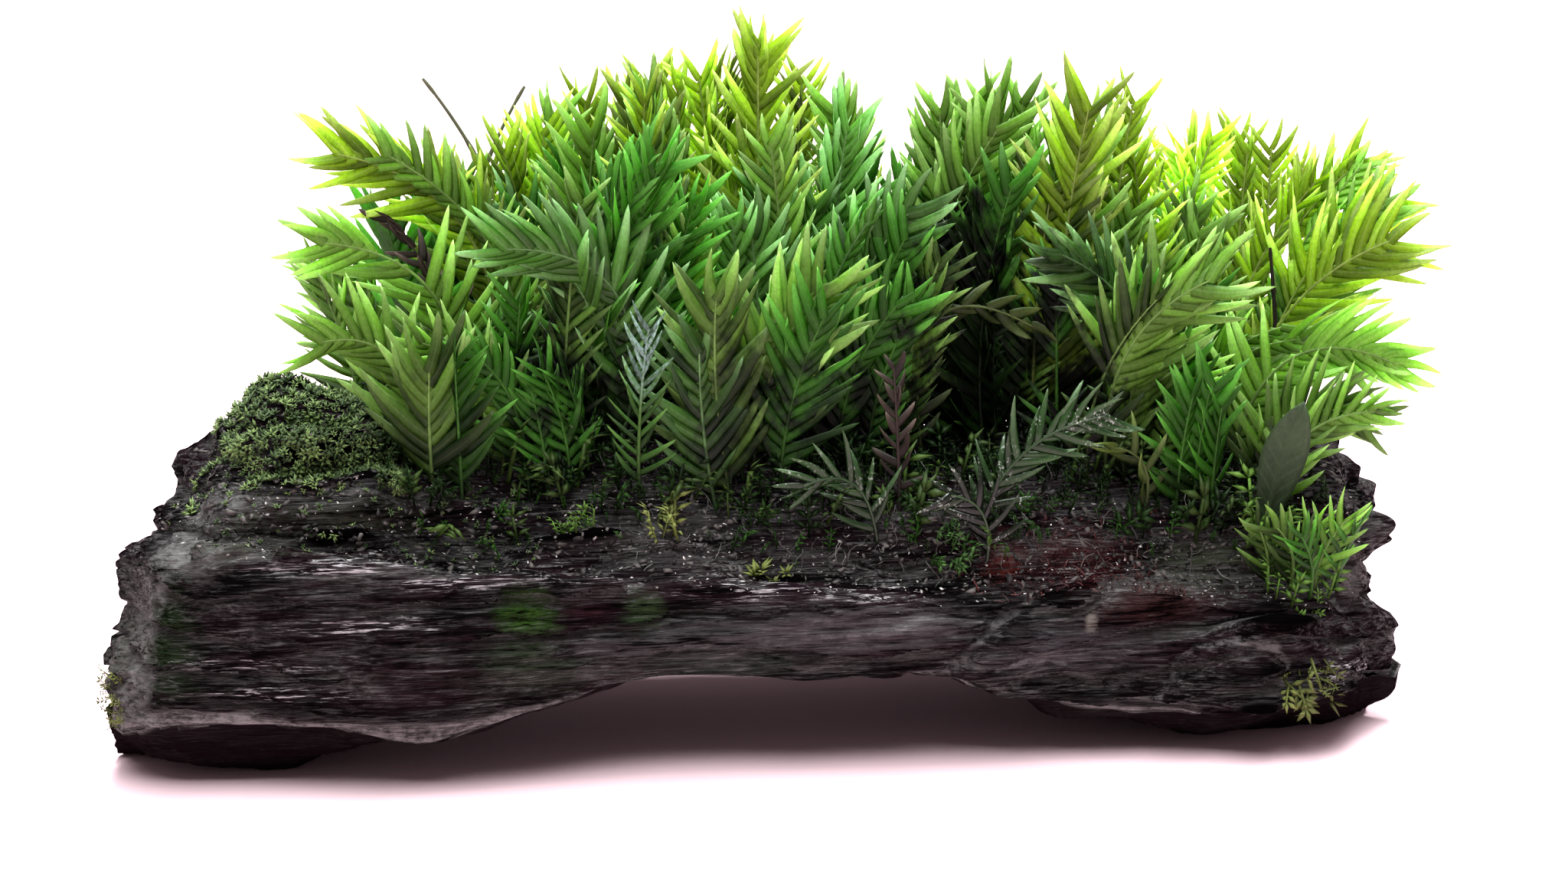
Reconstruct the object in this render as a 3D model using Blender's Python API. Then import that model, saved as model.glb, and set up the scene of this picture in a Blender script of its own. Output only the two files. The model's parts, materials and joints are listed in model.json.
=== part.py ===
"""Fissidens moss on driftwood: a low arched log with feather-shaped moss fronds standing on its top.

Sizes in the tables are millimetres, read along the log (x), away from the viewer (y) and up (z).
The log lies along X and rests on two flat feet at z = 0, with its broad worn face towards -Y.
"""

import math

import bmesh
import bpy
from mathutils import Vector, noise
from mathutils.bvhtree import BVHTree

MM = 0.001

# Driving dimensions of the log
LOG_STATIONS = 40
LOG_RING = 42
BARK_LUMPS = 0.55
BARK_GRAIN = 0.50
BROKEN_END_DEPTH = 1.3
BROKEN_END_JAGS = 1.2

# Places on the log that stand out or sink in: place, spread along each axis, height
KNOBS = (
    ("hole", (26.5, -12.0, 6.6), (2.6, 3.0, 0.8), -1.7),
    ("hole_brow", (26.0, -11.5, 8.0), (4.0, 3.0, 0.9), 0.5),
    ("low_right_knob", (34.0, -7.5, 2.6), (2.2, 3.5, 1.9), 1.2),
    ("high_right_knob", (35.0, 0.5, 12.8), (1.8, 3.0, 1.6), 1.9),
    ("right_cheek", (33.0, -7.5, 7.4), (1.8, 3.0, 1.5), 0.7),
    ("right_fold", (12.0, -11.6, 5.6), (2.6, 2.6, 1.4), -0.7),
    ("right_lobe", (17.5, -11.8, 4.6), (4.6, 3.0, 1.6), 0.6),
    ("left_cheek", (-33.6, -7.0, 9.0), (2.0, 4.0, 2.0), 0.5),
    ("left_lip", (-24.5, -6.6, 16.4), (4.6, 1.8, 0.8), 0.8),
    ("left_lip_shade", (-22.0, -7.6, 14.6), (5.0, 1.6, 0.8), -0.8),
)

# The log's sections crowd towards its ends along a cosine that starts at this share of its half turn
END_CROWDING = 0.12

# Driving dimensions of the fronds; shares are of the stem's length or of the leaf's
STEM_WIDTH = 0.50
STEM_DEPTH = 0.42
STEM_TAPER = 0.45
LEAF_PITCH = 1.9
BARE_STEM = 0.15
FEWEST_PAIRS = 4
SHORTEST_LEAF = 0.62
LOWEST_LEAF_ANGLE = 56.0
HIGHEST_LEAF_ANGLE = 36.0
LEAF_DROOP = 0.16
INNER_TRIM = 0.9
END_LEAF = 0.7
STALK_RINGS = 5
STALK_POINT = 1.2
ROOT_GAP = 0.5
VIEW_TURN = -8.0
STEM_STEPS = 60

# The middle of everything in plan, which becomes the origin
PLAN_MIDDLE = (1.85, -0.5)

# Rails along the log, from the front lower rim up over the top and back underneath
RAILS = (
    ("front_rim", ((-34.4, -6.5, 3.3), (-31.8, -10.8, 3.4), (-25.0, -11.9, 3.2), (-19.0, -12.0, 3.0),
                   (-12.0, -12.0, 3.8), (-5.0, -11.8, 4.6), (3.0, -11.5, 4.8), (8.0, -11.3, 4.4),
                   (12.0, -11.4, 3.1), (17.0, -11.5, 2.4), (24.0, -11.4, 2.1), (31.0, -10.3, 1.9),
                   (35.0, -7.0, 1.9))),
    ("front_belly", ((-34.9, -6.2, 6.3), (-32.4, -11.0, 7.5), (-25.0, -12.7, 7.6), (-15.0, -12.9, 7.4),
                     (-5.0, -12.5, 7.4), (5.0, -12.1, 7.1), (15.0, -12.3, 6.1), (25.0, -12.2, 5.3),
                     (31.6, -10.8, 5.0), (35.2, -6.0, 5.0))),
    ("ledge", ((-34.0, -5.0, 10.2), (-31.4, -10.0, 11.9), (-24.0, -11.9, 11.7), (-16.0, -12.0, 11.0),
               (-8.0, -12.0, 10.2), (0.0, -11.8, 9.3), (8.0, -11.5, 8.8), (16.0, -11.4, 8.5),
               (24.0, -11.2, 8.0), (31.0, -10.0, 7.8), (34.6, -5.0, 7.6))),
    ("ledge_top", ((-33.8, -4.2, 10.9), (-30.6, -9.4, 12.7), (-24.0, -11.2, 12.3), (-16.0, -11.4, 11.5),
                   (-8.0, -11.4, 10.7), (0.0, -11.2, 9.8), (8.0, -10.9, 9.3), (16.0, -10.8, 9.0),
                   (24.0, -10.6, 8.5), (31.0, -9.4, 8.3), (34.5, -4.4, 8.2))),
    ("shelf", ((-33.0, -3.0, 11.8), (-29.4, -8.0, 13.0), (-24.0, -9.3, 12.5), (-16.0, -9.5, 11.5),
               (-8.0, -9.5, 10.7), (0.0, -9.3, 10.0), (8.0, -9.0, 9.8), (16.0, -8.8, 9.9),
               (24.0, -8.4, 9.6), (31.0, -7.4, 9.6), (34.4, -3.5, 9.4))),
    ("shoulder", ((-31.6, -1.0, 13.4), (-28.0, -5.6, 15.8), (-24.0, -6.4, 15.9), (-16.0, -6.0, 15.0),
                  (-8.0, -6.0, 14.5), (0.0, -6.0, 13.8), (8.0, -6.0, 13.2), (16.0, -6.0, 12.9),
                  (25.0, -5.9, 12.6), (31.0, -5.0, 12.3), (34.8, -1.5, 11.6))),
    ("crest", ((-30.2, 1.0, 15.0), (-26.5, -1.0, 18.7), (-23.0, -1.4, 18.6), (-16.0, -1.0, 16.7),
               (-8.0, -1.0, 15.8), (0.0, -1.0, 15.2), (8.0, -1.0, 14.6), (16.0, -1.0, 14.2),
               (25.0, -1.0, 13.9), (31.6, -0.5, 13.8), (35.4, 1.0, 12.7))),
    ("back_crest", ((-29.6, 3.5, 14.6), (-26.0, 4.0, 17.9), (-22.0, 4.0, 17.6), (-14.0, 4.4, 16.0),
                    (-6.0, 4.5, 15.3), (2.0, 4.5, 14.9), (10.0, 4.5, 14.6), (18.0, 4.3, 14.4),
                    (26.0, 4.0, 14.2), (32.4, 3.5, 14.0), (35.6, 3.0, 12.9))),
    ("back_shoulder", ((-30.0, 5.5, 12.0), (-26.0, 8.2, 14.0), (-18.0, 9.2, 13.6), (-8.0, 9.2, 13.0),
                       (2.0, 9.0, 12.8), (12.0, 8.8, 12.6), (22.0, 8.2, 12.3), (31.0, 7.0, 11.8),
                       (35.6, 5.0, 10.6))),
    ("back_belly", ((-31.0, 6.2, 8.0), (-27.0, 10.2, 8.6), (-18.0, 11.5, 8.4), (-6.0, 11.8, 8.2),
                    (6.0, 11.5, 8.2), (18.0, 10.8, 7.8), (28.0, 9.5, 7.3), (35.2, 6.0, 6.6))),
    ("back_rim", ((-31.0, 4.8, 3.6), (-27.0, 9.3, 3.2), (-18.0, 10.6, 3.8), (-6.0, 10.9, 5.0),
                  (6.0, 10.6, 5.2), (16.0, 10.2, 3.9), (26.0, 9.0, 2.6), (34.6, 5.6, 2.4))),
    ("back_under", ((-32.4, 2.4, -0.4), (-27.5, 4.3, -0.6), (-22.0, 5.0, 0.6), (-16.0, 5.2, 3.9),
                    (-6.0, 5.4, 5.9), (6.0, 5.4, 5.9), (13.0, 5.1, 4.0), (19.0, 4.6, 0.9),
                    (24.0, 4.2, -0.5), (31.0, 3.6, -0.6), (34.2, 2.2, -0.3))),
    ("front_under", ((-33.6, -2.6, -0.3), (-28.8, -4.6, -0.4), (-22.0, -5.4, 0.9), (-16.0, -6.5, 3.7),
                     (-6.0, -6.3, 5.6), (6.0, -6.0, 5.7), (12.0, -5.4, 4.0), (18.0, -4.4, 1.2),
                     (23.0, -4.0, -0.1), (30.0, -4.0, -0.3), (34.2, -2.8, -0.2))),
)

# Colour and roughness of each kind of growth
FINISHES = {
    "bark": ((0.022, 0.017, 0.016), 0.42),
    "bright": ((0.17, 0.36, 0.03), 0.45),
    "deep": ((0.04, 0.17, 0.015), 0.45),
    "blue": ((0.09, 0.26, 0.09), 0.45),
    "yellow": ((0.42, 0.55, 0.05), 0.45),
    "pale": ((0.36, 0.44, 0.34), 0.50),
    "wet": ((0.14, 0.20, 0.12), 0.25),
    "olive": ((0.16, 0.17, 0.06), 0.50),
    "brown": ((0.06, 0.035, 0.025), 0.60),
}

# Each frond: name, kind, root (x, y), a point half way up the stem, tip, leaf length, turn about the upright.
# Depths and turns are set so that each stands clear of its neighbours.
FRONDS = (
    ("frond_left_front", "bright", (-17.2, -6.0), (-17.4, -7.0, 19.8), (-17.3, -7.5, 24.2), 4.6, 8),
    ("frond_left_low", "bright", (-18.6, -3.5), (-21.0, -4.5, 22.3), (-25.4, -5.5, 22.4), 4.0, 0),
    ("frond_left_middle", "bright", (-16.0, -1.0), (-18.4, -2.5, 25.8), (-25.2, -3.5, 28.2), 4.2, -6),
    ("frond_left_high", "yellow", (-13.8, 2.0), (-17.0, 1.0, 29.3), (-24.2, 0.0, 32.6), 4.2, 5),
    ("frond_midleft_arch", "blue", (-7.3, -2.0), (-8.9, -3.5, 25.8), (-16.0, -5.0, 27.7), 4.4, 8),
    ("frond_centre_big", "bright", (0.0, -3.5), (1.8, -5.0, 22.3), (5.1, -6.0, 27.3), 4.9, -8),
    ("frond_centre_left", "blue", (-1.2, -5.2), (-2.4, -5.9, 21.3), (-2.3, -6.4, 27.3), 4.4, 12),
    ("frond_right_front", "bright", (19.3, -4.0), (22.0, -5.5, 23.3), (27.0, -6.0, 26.3), 4.8, 0),
    ("frond_right_blue", "blue", (21.9, -2.0), (19.2, -3.5, 24.1), (14.2, -4.5, 27.4), 4.0, 6),
    ("frond_far_right_fan", "yellow", (27.8, 0.5), (31.2, -1.0, 23.3), (38.1, -2.0, 27.6), 4.8, 0),
    ("frond_far_right_arch", "bright", (26.0, -3.0), (30.7, -4.0, 20.4), (37.8, -4.5, 19.0), 4.2, -5),
    ("frond_far_right_low", "bright", (27.4, -5.0), (30.6, -5.8, 17.4), (35.4, -6.0, 16.4), 3.8, 10),
    ("frond_right_low_front", "deep", (23.6, -5.5), (23.9, -6.5, 17.5), (24.5, -7.0, 21.4), 3.4, 20),
    ("frond_right_low_arch", "bright", (24.7, -1.3), (26.8, -2.1, 19.6), (32.9, -2.6, 21.5), 4.0, 10),
    ("frond_centre_right", "deep", (4.8, -2.0), (6.5, -3.0, 21.5), (9.2, -4.0, 25.5), 4.0, 12),
    ("frond_midleft_low", "bright", (-13.7, -4.0), (-15.2, -5.5, 20.9), (-19.4, -6.5, 23.4), 3.0, 15),
    ("frond_midleft_dark", "deep", (-10.0, -5.0), (-10.8, -5.0, 19.1), (-12.1, -5.0, 22.3), 2.8, 25),
    ("frond_midleft_big", "deep", (-7.3, 0.0), (-7.3, -1.0, 25.6), (-4.3, -1.5, 33.4), 4.8, -6),
    ("frond_midleft_back", "blue", (-10.6, 2.1), (-11.2, 3.1, 24.2), (-13.8, 3.1, 29.9), 4.0, 20),
    ("frond_midleft_tall", "deep", (-8.3, 3.0), (-8.4, 2.5, 25.5), (-7.7, 2.0, 34.8), 4.2, 40),
    ("frond_top_centre", "yellow", (1.1, 3.5), (1.1, 3.0, 29.0), (1.1, 3.0, 38.9), 4.2, 0),
    ("frond_centre_blue", "blue", (1.2, 0.5), (0.7, 0.0, 22.8), (0.0, -0.5, 29.7), 4.0, -25),
    ("frond_centre_right_blue", "blue", (5.7, 0.0), (6.6, -1.0, 24.9), (10.2, -2.0, 30.3), 4.2, 8),
    ("frond_centre_back", "blue", (5.2, 2.5), (5.2, 2.5, 25.7), (6.2, 2.5, 34.7), 4.2, -45),
    ("frond_right_arch_back", "deep", (11.6, 2.0), (11.5, 2.0, 26.9), (15.5, 2.0, 34.5), 4.4, 0),
    ("frond_right_inner", "deep", (13.5, 0.0), (13.4, 0.0, 24.5), (15.2, 0.0, 31.6), 4.0, 45),
    ("frond_right_tall", "yellow", (17.6, 1.5), (17.9, 1.0, 26.9), (19.5, 1.0, 36.3), 4.8, 0),
    ("frond_far_right_high", "yellow", (28.5, 3.5), (30.2, 3.5, 23.9), (36.5, 3.5, 31.4), 4.0, 0),
    ("frond_far_right_back", "yellow", (29.1, 2.2), (31.9, 1.5, 23.6), (37.5, 1.0, 29.8), 4.2, 10),
    ("frond_right_back", "bright", (24.8, 2.5), (25.0, 2.5, 21.8), (26.2, 2.5, 28.4), 4.0, -45),
    ("frond_yellow_left", "yellow", (-9.6, 5.0), (-10.0, 5.0, 25.2), (-10.6, 5.0, 34.4), 4.0, -10),
    ("frond_yellow_middle", "yellow", (-5.2, 4.5), (-4.7, 5.0, 25.0), (-5.1, 5.0, 35.6), 4.0, 10),
    ("frond_yellow_inner", "yellow", (-2.9, 6.0), (-2.5, 7.8, 24.7), (-2.3, 8.8, 34.4), 3.8, 60),
    ("frond_top_left", "yellow", (-0.5, 6.0), (-0.4, 6.5, 27.3), (0.0, 6.5, 37.0), 3.6, -47),
    ("frond_top_right", "yellow", (3.6, 5.7), (3.6, 6.4, 26.0), (4.0, 6.4, 35.5), 3.8, 40),
    ("frond_right_tall_back", "bright", (17.4, 4.5), (17.6, 4.5, 25.1), (18.2, 4.5, 34.0), 3.8, 60),
    ("frond_thin_yellow_a", "yellow", (23.7, 5.2), (24.8, 5.4, 23.5), (27.6, 5.4, 32.5), 2.8, 10),
    ("frond_thin_yellow_b", "yellow", (22.3, 6.5), (23.8, 7.8, 22.8), (25.2, 7.8, 31.2), 3.0, -50),
    ("frond_thin_yellow_c", "yellow", (27.9, 5.2), (28.7, 5.9, 23.6), (29.5, 6.4, 31.8), 3.0, 55),
    ("frond_dry_upright", "pale", (-6.4, -6.0), (-6.3, -6.5, 19.8), (-5.8, -7.0, 24.4), 2.2, 0),
    ("frond_olive_sprig", "olive", (9.7, -2.3), (11.7, -2.6, 23.0), (16.6, -3.1, 21.4), 2.2, 0),
    ("frond_withered_left", "brown", (-15.2, 0.8), (-16.4, 0.8, 24.0), (-19.8, 0.8, 28.8), 1.7, 20),
    ("frond_withered_centre", "brown", (7.4, -6.5), (7.1, -7.2, 17.3), (6.8, -7.4, 21.6), 1.4, 0),
    ("frond_low_wet_left", "wet", (6.1, -7.4), (3.6, -8.2, 15.0), (0.2, -9.0, 14.4), 2.6, 0),
    ("frond_low_wet_right", "wet", (11.1, -7.3), (15.1, -8.2, 17.0), (19.8, -8.6, 18.6), 2.8, 0),
    ("frond_low_spiky", "wet", (11.6, -8.4), (10.2, -9.3, 14.0), (8.0, -9.8, 14.6), 2.4, 0),
    ("frond_low_curl", "olive", (20.4, -6.4), (19.6, -7.6, 15.8), (17.4, -8.4, 16.6), 2.0, 0),
    ("frond_rim_tuft_a", "bright", (29.6, -8.2), (30.5, -9.6, 11.7), (31.8, -10.2, 13.6), 2.6, 0),
    ("frond_rim_tuft_b", "bright", (27.9, -8.6), (27.2, -10.2, 11.8), (25.8, -10.8, 13.2), 2.4, 0),
    ("frond_back_left", "bright", (-19.0, 6.0), (-20.5, 8.5, 21.5), (-23.0, 10.5, 26.0), 4.0, 160),
    ("frond_back_midleft", "deep", (-14.2, 4.6), (-14.8, 4.8, 23.0), (-16.2, 4.8, 30.0), 4.0, 0),
    ("frond_back_centre", "bright", (-3.5, 7.8), (-3.8, 10.4, 20.5), (-2.0, 12.2, 26.0), 4.0, 180),
    ("frond_back_centre_right", "deep", (9.4, 6.4), (9.8, 7.0, 22.5), (10.8, 7.4, 30.5), 4.2, -20),
    ("frond_back_right", "bright", (15.0, 7.4), (15.0, 9.0, 21.5), (14.0, 10.0, 29.0), 4.0, 190),
    ("frond_back_far_right", "bright", (26.0, 6.8), (27.5, 9.0, 19.0), (31.0, 10.5, 24.0), 4.0, 175),
)

# Leafless stalks: name, kind, root, half way, tip
STALKS = (
    ("dry_stalk_a", "olive", (-11.2, 6.7), (-13.0, 6.9, 28.2), (-16.8, 6.9, 34.6)),
    ("dry_stalk_b", "olive", (-15.0, 6.7), (-13.8, 7.7, 28.6), (-11.2, 7.7, 34.0)),
    ("dark_stalk", "brown", (30.2, 1.0), (29.8, 1.0, 20.1), (29.3, 1.0, 25.2)),
)

# The one broad leaf at the right: root, half way, tip, half width, thickness
OVAL_LEAF = ((27.0, -7.2), (28.0, -8.3, 16.4), (28.6, -9.0, 18.6), 1.1, 0.35)
OVAL_LEAF_RINGS = 9
OVAL_LEAF_STALK = 0.22


def remove_everything():
    """Start from an empty scene."""
    for thing in list(bpy.data.objects):
        bpy.data.objects.remove(thing, do_unlink=True)


def finish_material(name, kind):
    """A plain Principled material in the colour of that kind of growth."""
    colour, roughness = FINISHES[kind]
    material = bpy.data.materials.new(name)
    material.use_nodes = True
    shader = material.node_tree.nodes["Principled BSDF"]
    shader.inputs["Base Color"].default_value = (*colour, 1.0)
    shader.inputs["Roughness"].default_value = roughness
    return material


def add_object(name, kind, points, faces):
    """One closed mesh object in metres from points in millimetres about the plan's middle."""
    middle = Vector((*PLAN_MIDDLE, 0.0))
    mesh = bpy.data.meshes.new(name)
    mesh.from_pydata([(point - middle) * MM for point in points], [], faces)
    mesh.update()
    mesh.materials.append(finish_material(name, kind))
    thing = bpy.data.objects.new(name, mesh)
    bpy.context.scene.collection.objects.link(thing)
    return thing


def rail_point(rail, fraction):
    """The point of a rail at a fraction of its own length in x, on a smooth curve through its points."""
    x = rail[0][0] + (rail[-1][0] - rail[0][0]) * fraction
    last = len(rail) - 2
    span = next((i for i in range(last) if x <= rail[i + 1][0]), last)
    start, end = Vector(rail[span]), Vector(rail[span + 1])
    before = Vector(rail[max(span - 1, 0)])
    after = Vector(rail[min(span + 2, last + 1)])
    width = end.x - start.x
    leave = (end - before) * (width / (end.x - before.x))
    arrive = (after - start) * (width / (after.x - start.x))
    s = (x - start.x) / width
    point = start * (2 * s**3 - 3 * s**2 + 1) + leave * (s**3 - 2 * s**2 + s)
    point += end * (3 * s**2 - 2 * s**3) + arrive * (s**3 - s**2)
    point.x = x
    return point


def section_point(corners, turn):
    """A point of the closed curve through a section's corners; turn runs from 0 to 1 once round."""
    count = len(corners)
    place = turn * count
    i = int(place) % count
    s = place - int(place)
    p0, p1, p2, p3 = (corners[(i + k) % count] for k in (-1, 0, 1, 2))
    return 0.5 * (2 * p1 + (p2 - p0) * s + (2 * p0 - 5 * p1 + 4 * p2 - p3) * s**2
                  + (3 * p1 - p0 - 3 * p2 + p3) * s**3)


def log_grid(stations, ring):
    """Smooth points of the log's skin, station by station, with the stations closer at both ends."""
    grid = []
    for i in range(stations):
        share = END_CROWDING + (1.0 - 2.0 * END_CROWDING) * i / (stations - 1)
        edge = math.cos(math.pi * END_CROWDING)
        fraction = 0.5 - 0.5 * math.cos(math.pi * share) / edge
        corners = [rail_point(rail, min(max(fraction, 0.0), 1.0)) for _, rail in RAILS]
        grid.append([section_point(corners, k / ring) for k in range(ring)])
    return grid


def knob_height(point):
    """Height of the named knobs and hollows at a point, each fading out smoothly round its place."""
    height = 0.0
    for _, place, spread, top in KNOBS:
        reach = sum(((point[k] - place[k]) / spread[k]) ** 2 for k in range(3))
        height += top * math.exp(-reach)
    return height


def bark_height(point):
    """How far the wood stands proud at a point: broad lumps, furrows drawn out along the grain, knobs."""
    lumps = noise.noise(Vector((point.x / 11.0, point.y / 6.0, point.z / 5.0)) + Vector((7.1, 2.3, 4.9)))
    grain = noise.noise(Vector((point.x / 13.0, point.y / 2.9, point.z / 2.3)))
    splinters = noise.noise(Vector((point.x / 5.0, point.y / 2.2, point.z / 1.8)) + Vector((3.3, 8.1, 1.7)))
    furrows = 0.5 - 1.6 * abs(grain) + 0.6 * splinters
    return 2.0 * BARK_LUMPS * lumps + BARK_GRAIN * furrows + knob_height(point)


def roughened(grid):
    """The skin's points moved along their normals by the bark's height, with broken rims at both ends."""
    rows = len(grid)
    ring = len(grid[0])
    moved = []
    for i in range(rows):
        row = []
        for k in range(ring):
            along = grid[min(i + 1, rows - 1)][k] - grid[max(i - 1, 0)][k]
            around = grid[i][(k + 1) % ring] - grid[i][k - 1]
            outward = around.cross(along).normalized()
            point = grid[i][k] + outward * bark_height(grid[i][k])
            if i in (0, rows - 1):
                point.x += BROKEN_END_JAGS * noise.noise(Vector((point.y / 2.4, point.z / 1.7, 3.0 + i)))
            row.append(point)
        moved.append(row)
    return moved


def close_end(points, faces, ring_start, ring, inward, flip):
    """Close one end of the log with two sunken rings and a middle point."""
    rim = [points[ring_start + k] for k in range(ring)]
    middle = sum(rim, Vector()) / ring
    outer = ring_start
    for share in (0.30, 0.66):
        first = len(points)
        for point in rim:
            sunk = point.lerp(middle, share)
            wobble = noise.noise(Vector((sunk.y / 1.6, sunk.z / 1.6, 9.0)))
            sunk.x += inward * BROKEN_END_DEPTH * (share + 0.6 * wobble)
            points.append(sunk)
        for k in range(ring):
            j = (k + 1) % ring
            face = (outer + k, outer + j, first + j, first + k)
            faces.append(face[::-1] if flip else face)
        outer = first
    points.append(middle + Vector((inward * BROKEN_END_DEPTH, 0.0, 0.0)))
    hub = len(points) - 1
    for k in range(ring):
        face = (outer + k, outer + (k + 1) % ring, hub)
        faces.append(face[::-1] if flip else face)


def log_mesh():
    """Points and faces of the log, cut flat where its feet meet the ground."""
    grid = roughened(log_grid(LOG_STATIONS, LOG_RING))
    points = [point for row in grid for point in row]
    faces = []
    for i in range(LOG_STATIONS - 1):
        for k in range(LOG_RING):
            a, b = i * LOG_RING + k, i * LOG_RING + (k + 1) % LOG_RING
            faces.append((a, b, b + LOG_RING, a + LOG_RING))
    close_end(points, faces, 0, LOG_RING, 1.0, True)
    close_end(points, faces, (LOG_STATIONS - 1) * LOG_RING, LOG_RING, -1.0, False)
    shape = bmesh.new()
    corners = [shape.verts.new(point) for point in points]
    for face in faces:
        shape.faces.new([corners[i] for i in face])
    bmesh.ops.triangulate(shape, faces=shape.faces[:])
    bmesh.ops.bisect_plane(shape, geom=shape.verts[:] + shape.edges[:] + shape.faces[:], dist=1e-4,
                           plane_co=(0.0, 0.0, 0.0), plane_no=(0.0, 0.0, 1.0), clear_inner=True)
    bmesh.ops.remove_doubles(shape, verts=shape.verts[:], dist=0.02)
    rim = [edge for edge in shape.edges if edge.is_boundary]
    bmesh.ops.holes_fill(shape, edges=rim, sides=0)
    bmesh.ops.triangulate(shape, faces=shape.faces[:])
    bmesh.ops.recalc_face_normals(shape, faces=shape.faces[:])
    shape.verts.index_update()
    points = [vertex.co.copy() for vertex in shape.verts]
    faces = [tuple(vertex.index for vertex in face.verts) for face in shape.faces]
    shape.free()
    return points, faces


def ground_under(log_tree, x, y):
    """Height of the log's top at a place in plan."""
    hit = log_tree.ray_cast(Vector((x, y, 60.0)), Vector((0.0, 0.0, -1.0)))[0]
    return hit.z


def stem_curve(root, middle, tip, steps):
    """Points of a parabola from root to tip that passes through the middle point at its share of the way."""
    way = (middle - root).length
    share = way / (way + (tip - middle).length)
    bend = (middle - root * (1 - share) ** 2 - tip * share**2) / (2 * share * (1 - share))
    curve = []
    for i in range(steps + 1):
        t = i / steps
        curve.append(root * (1 - t) ** 2 + bend * (2 * t * (1 - t)) + tip * t**2)
    return curve


def facing_from_turn(turn):
    """Level direction that the flat of a frond looks to; 0 looks at the viewer in front of the log."""
    angle = math.radians(turn + VIEW_TURN)
    return Vector((math.sin(angle), -math.cos(angle), 0.0))


def stem_frame(curve, i, facing):
    """Forward, sideways and outward directions of the frond at one point of its stem."""
    forward = (curve[min(i + 1, len(curve) - 1)] - curve[max(i - 1, 0)]).normalized()
    side = forward.cross(facing).normalized()
    return forward, side, side.cross(forward).normalized()


def leaf_share(share):
    """Length of a leaf against the longest one: shorter at the foot of the frond and near its tip."""
    return SHORTEST_LEAF + (1.0 - SHORTEST_LEAF) * math.sin(math.pi * (0.18 + 0.75 * share))


def frond_mesh(root, middle, tip, leaf, turn):
    """Stem of square section with a row of pointed leaves along each side and one at the end, all one body.

    Without a leaf length it is a bare tapering stalk.
    """
    length = (middle - root).length + (tip - middle).length
    pairs = max(FEWEST_PAIRS, round(length * (1 - BARE_STEM) / LEAF_PITCH)) if leaf else 0
    bare = 2 if leaf else STALK_RINGS
    stop = tip - (tip - middle).normalized() * (END_LEAF * leaf if leaf else STALK_POINT)
    facing = facing_from_turn(turn)
    rings = bare + pairs
    fine = stem_curve(root, middle, stop, STEM_STEPS)
    marks = [BARE_STEM * i / bare for i in range(bare)] if leaf else [i / bare for i in range(bare)]
    marks += [BARE_STEM + (1 - BARE_STEM) * i / pairs for i in range(pairs + 1)] if leaf else [1.0]
    steps = [round(mark * STEM_STEPS) for mark in marks]
    points = []
    faces = []
    for mark, i in zip(marks, steps):
        side, outward = stem_frame(fine, i, facing)[1:]
        taper = 1.0 - STEM_TAPER * mark
        across = side * (0.5 * STEM_WIDTH * taper)
        through = outward * (0.5 * STEM_DEPTH * taper)
        spot = fine[i]
        points += [spot + across + through, spot - across + through,
                   spot - across - through, spot + across - through]
    for ring in range(rings):
        a, b, c, d = (4 * ring + k for k in range(4))
        e, f, g, h = (4 * ring + 4 + k for k in range(4))
        faces += [(a, b, f), (a, f, e), (c, d, h), (c, h, g)]
        if ring < bare or not leaf:
            faces += [(d, a, e), (d, e, h), (b, c, g), (b, g, f)]
            continue
        share = (ring - bare + 0.5) / pairs
        forward, side, outward = stem_frame(fine, steps[ring], facing)
        reach = leaf * leaf_share(share)
        spread = math.radians(LOWEST_LEAF_ANGLE + (HIGHEST_LEAF_ANGLE - LOWEST_LEAF_ANGLE) * share)
        base = 0.5 * (fine[steps[ring]] + fine[steps[ring + 1]])
        ahead = forward * math.cos(spread) - outward * LEAF_DROOP
        bend = (stem_frame(fine, steps[ring + 1], facing)[0] - forward).dot(side) * reach / LEAF_PITCH
        for sign, corners in ((1.0, (d, a, e, h)), (-1.0, (b, c, g, f))):
            trim = max(1.0 - INNER_TRIM * max(sign * bend, 0.0), SHORTEST_LEAF)
            points.append(base + (ahead + side * (sign * math.sin(spread))) * (reach * trim))
            apex = len(points) - 1
            faces += [(corners[k], corners[(k + 1) % 4], apex) for k in range(4)]
    faces += [(0, 3, 2), (0, 2, 1)]
    points.append(tip)
    apex = len(points) - 1
    top = 4 * rings
    faces += [(top + k, top + (k + 1) % 4, apex) for k in range(4)]
    return points, faces


def turned_faces(points, faces):
    """The same faces, turned to point outwards where the body is inside out."""
    volume = sum(points[a].dot(points[b].cross(points[c])) for a, b, c in faces)
    return faces if volume > 0 else [face[::-1] for face in faces]


def standing_mesh(row, log_tree):
    """Mesh of one frond or stalk of the list, standing on the log's top at its root."""
    root_xy, middle, tip = row[2:5]
    leaf, turn = row[5:7] if len(row) > 5 else (0.0, 0.0)
    root = Vector((*root_xy, ground_under(log_tree, *root_xy) + ROOT_GAP))
    return frond_mesh(root, Vector(middle), Vector(tip), leaf, turn)


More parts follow.
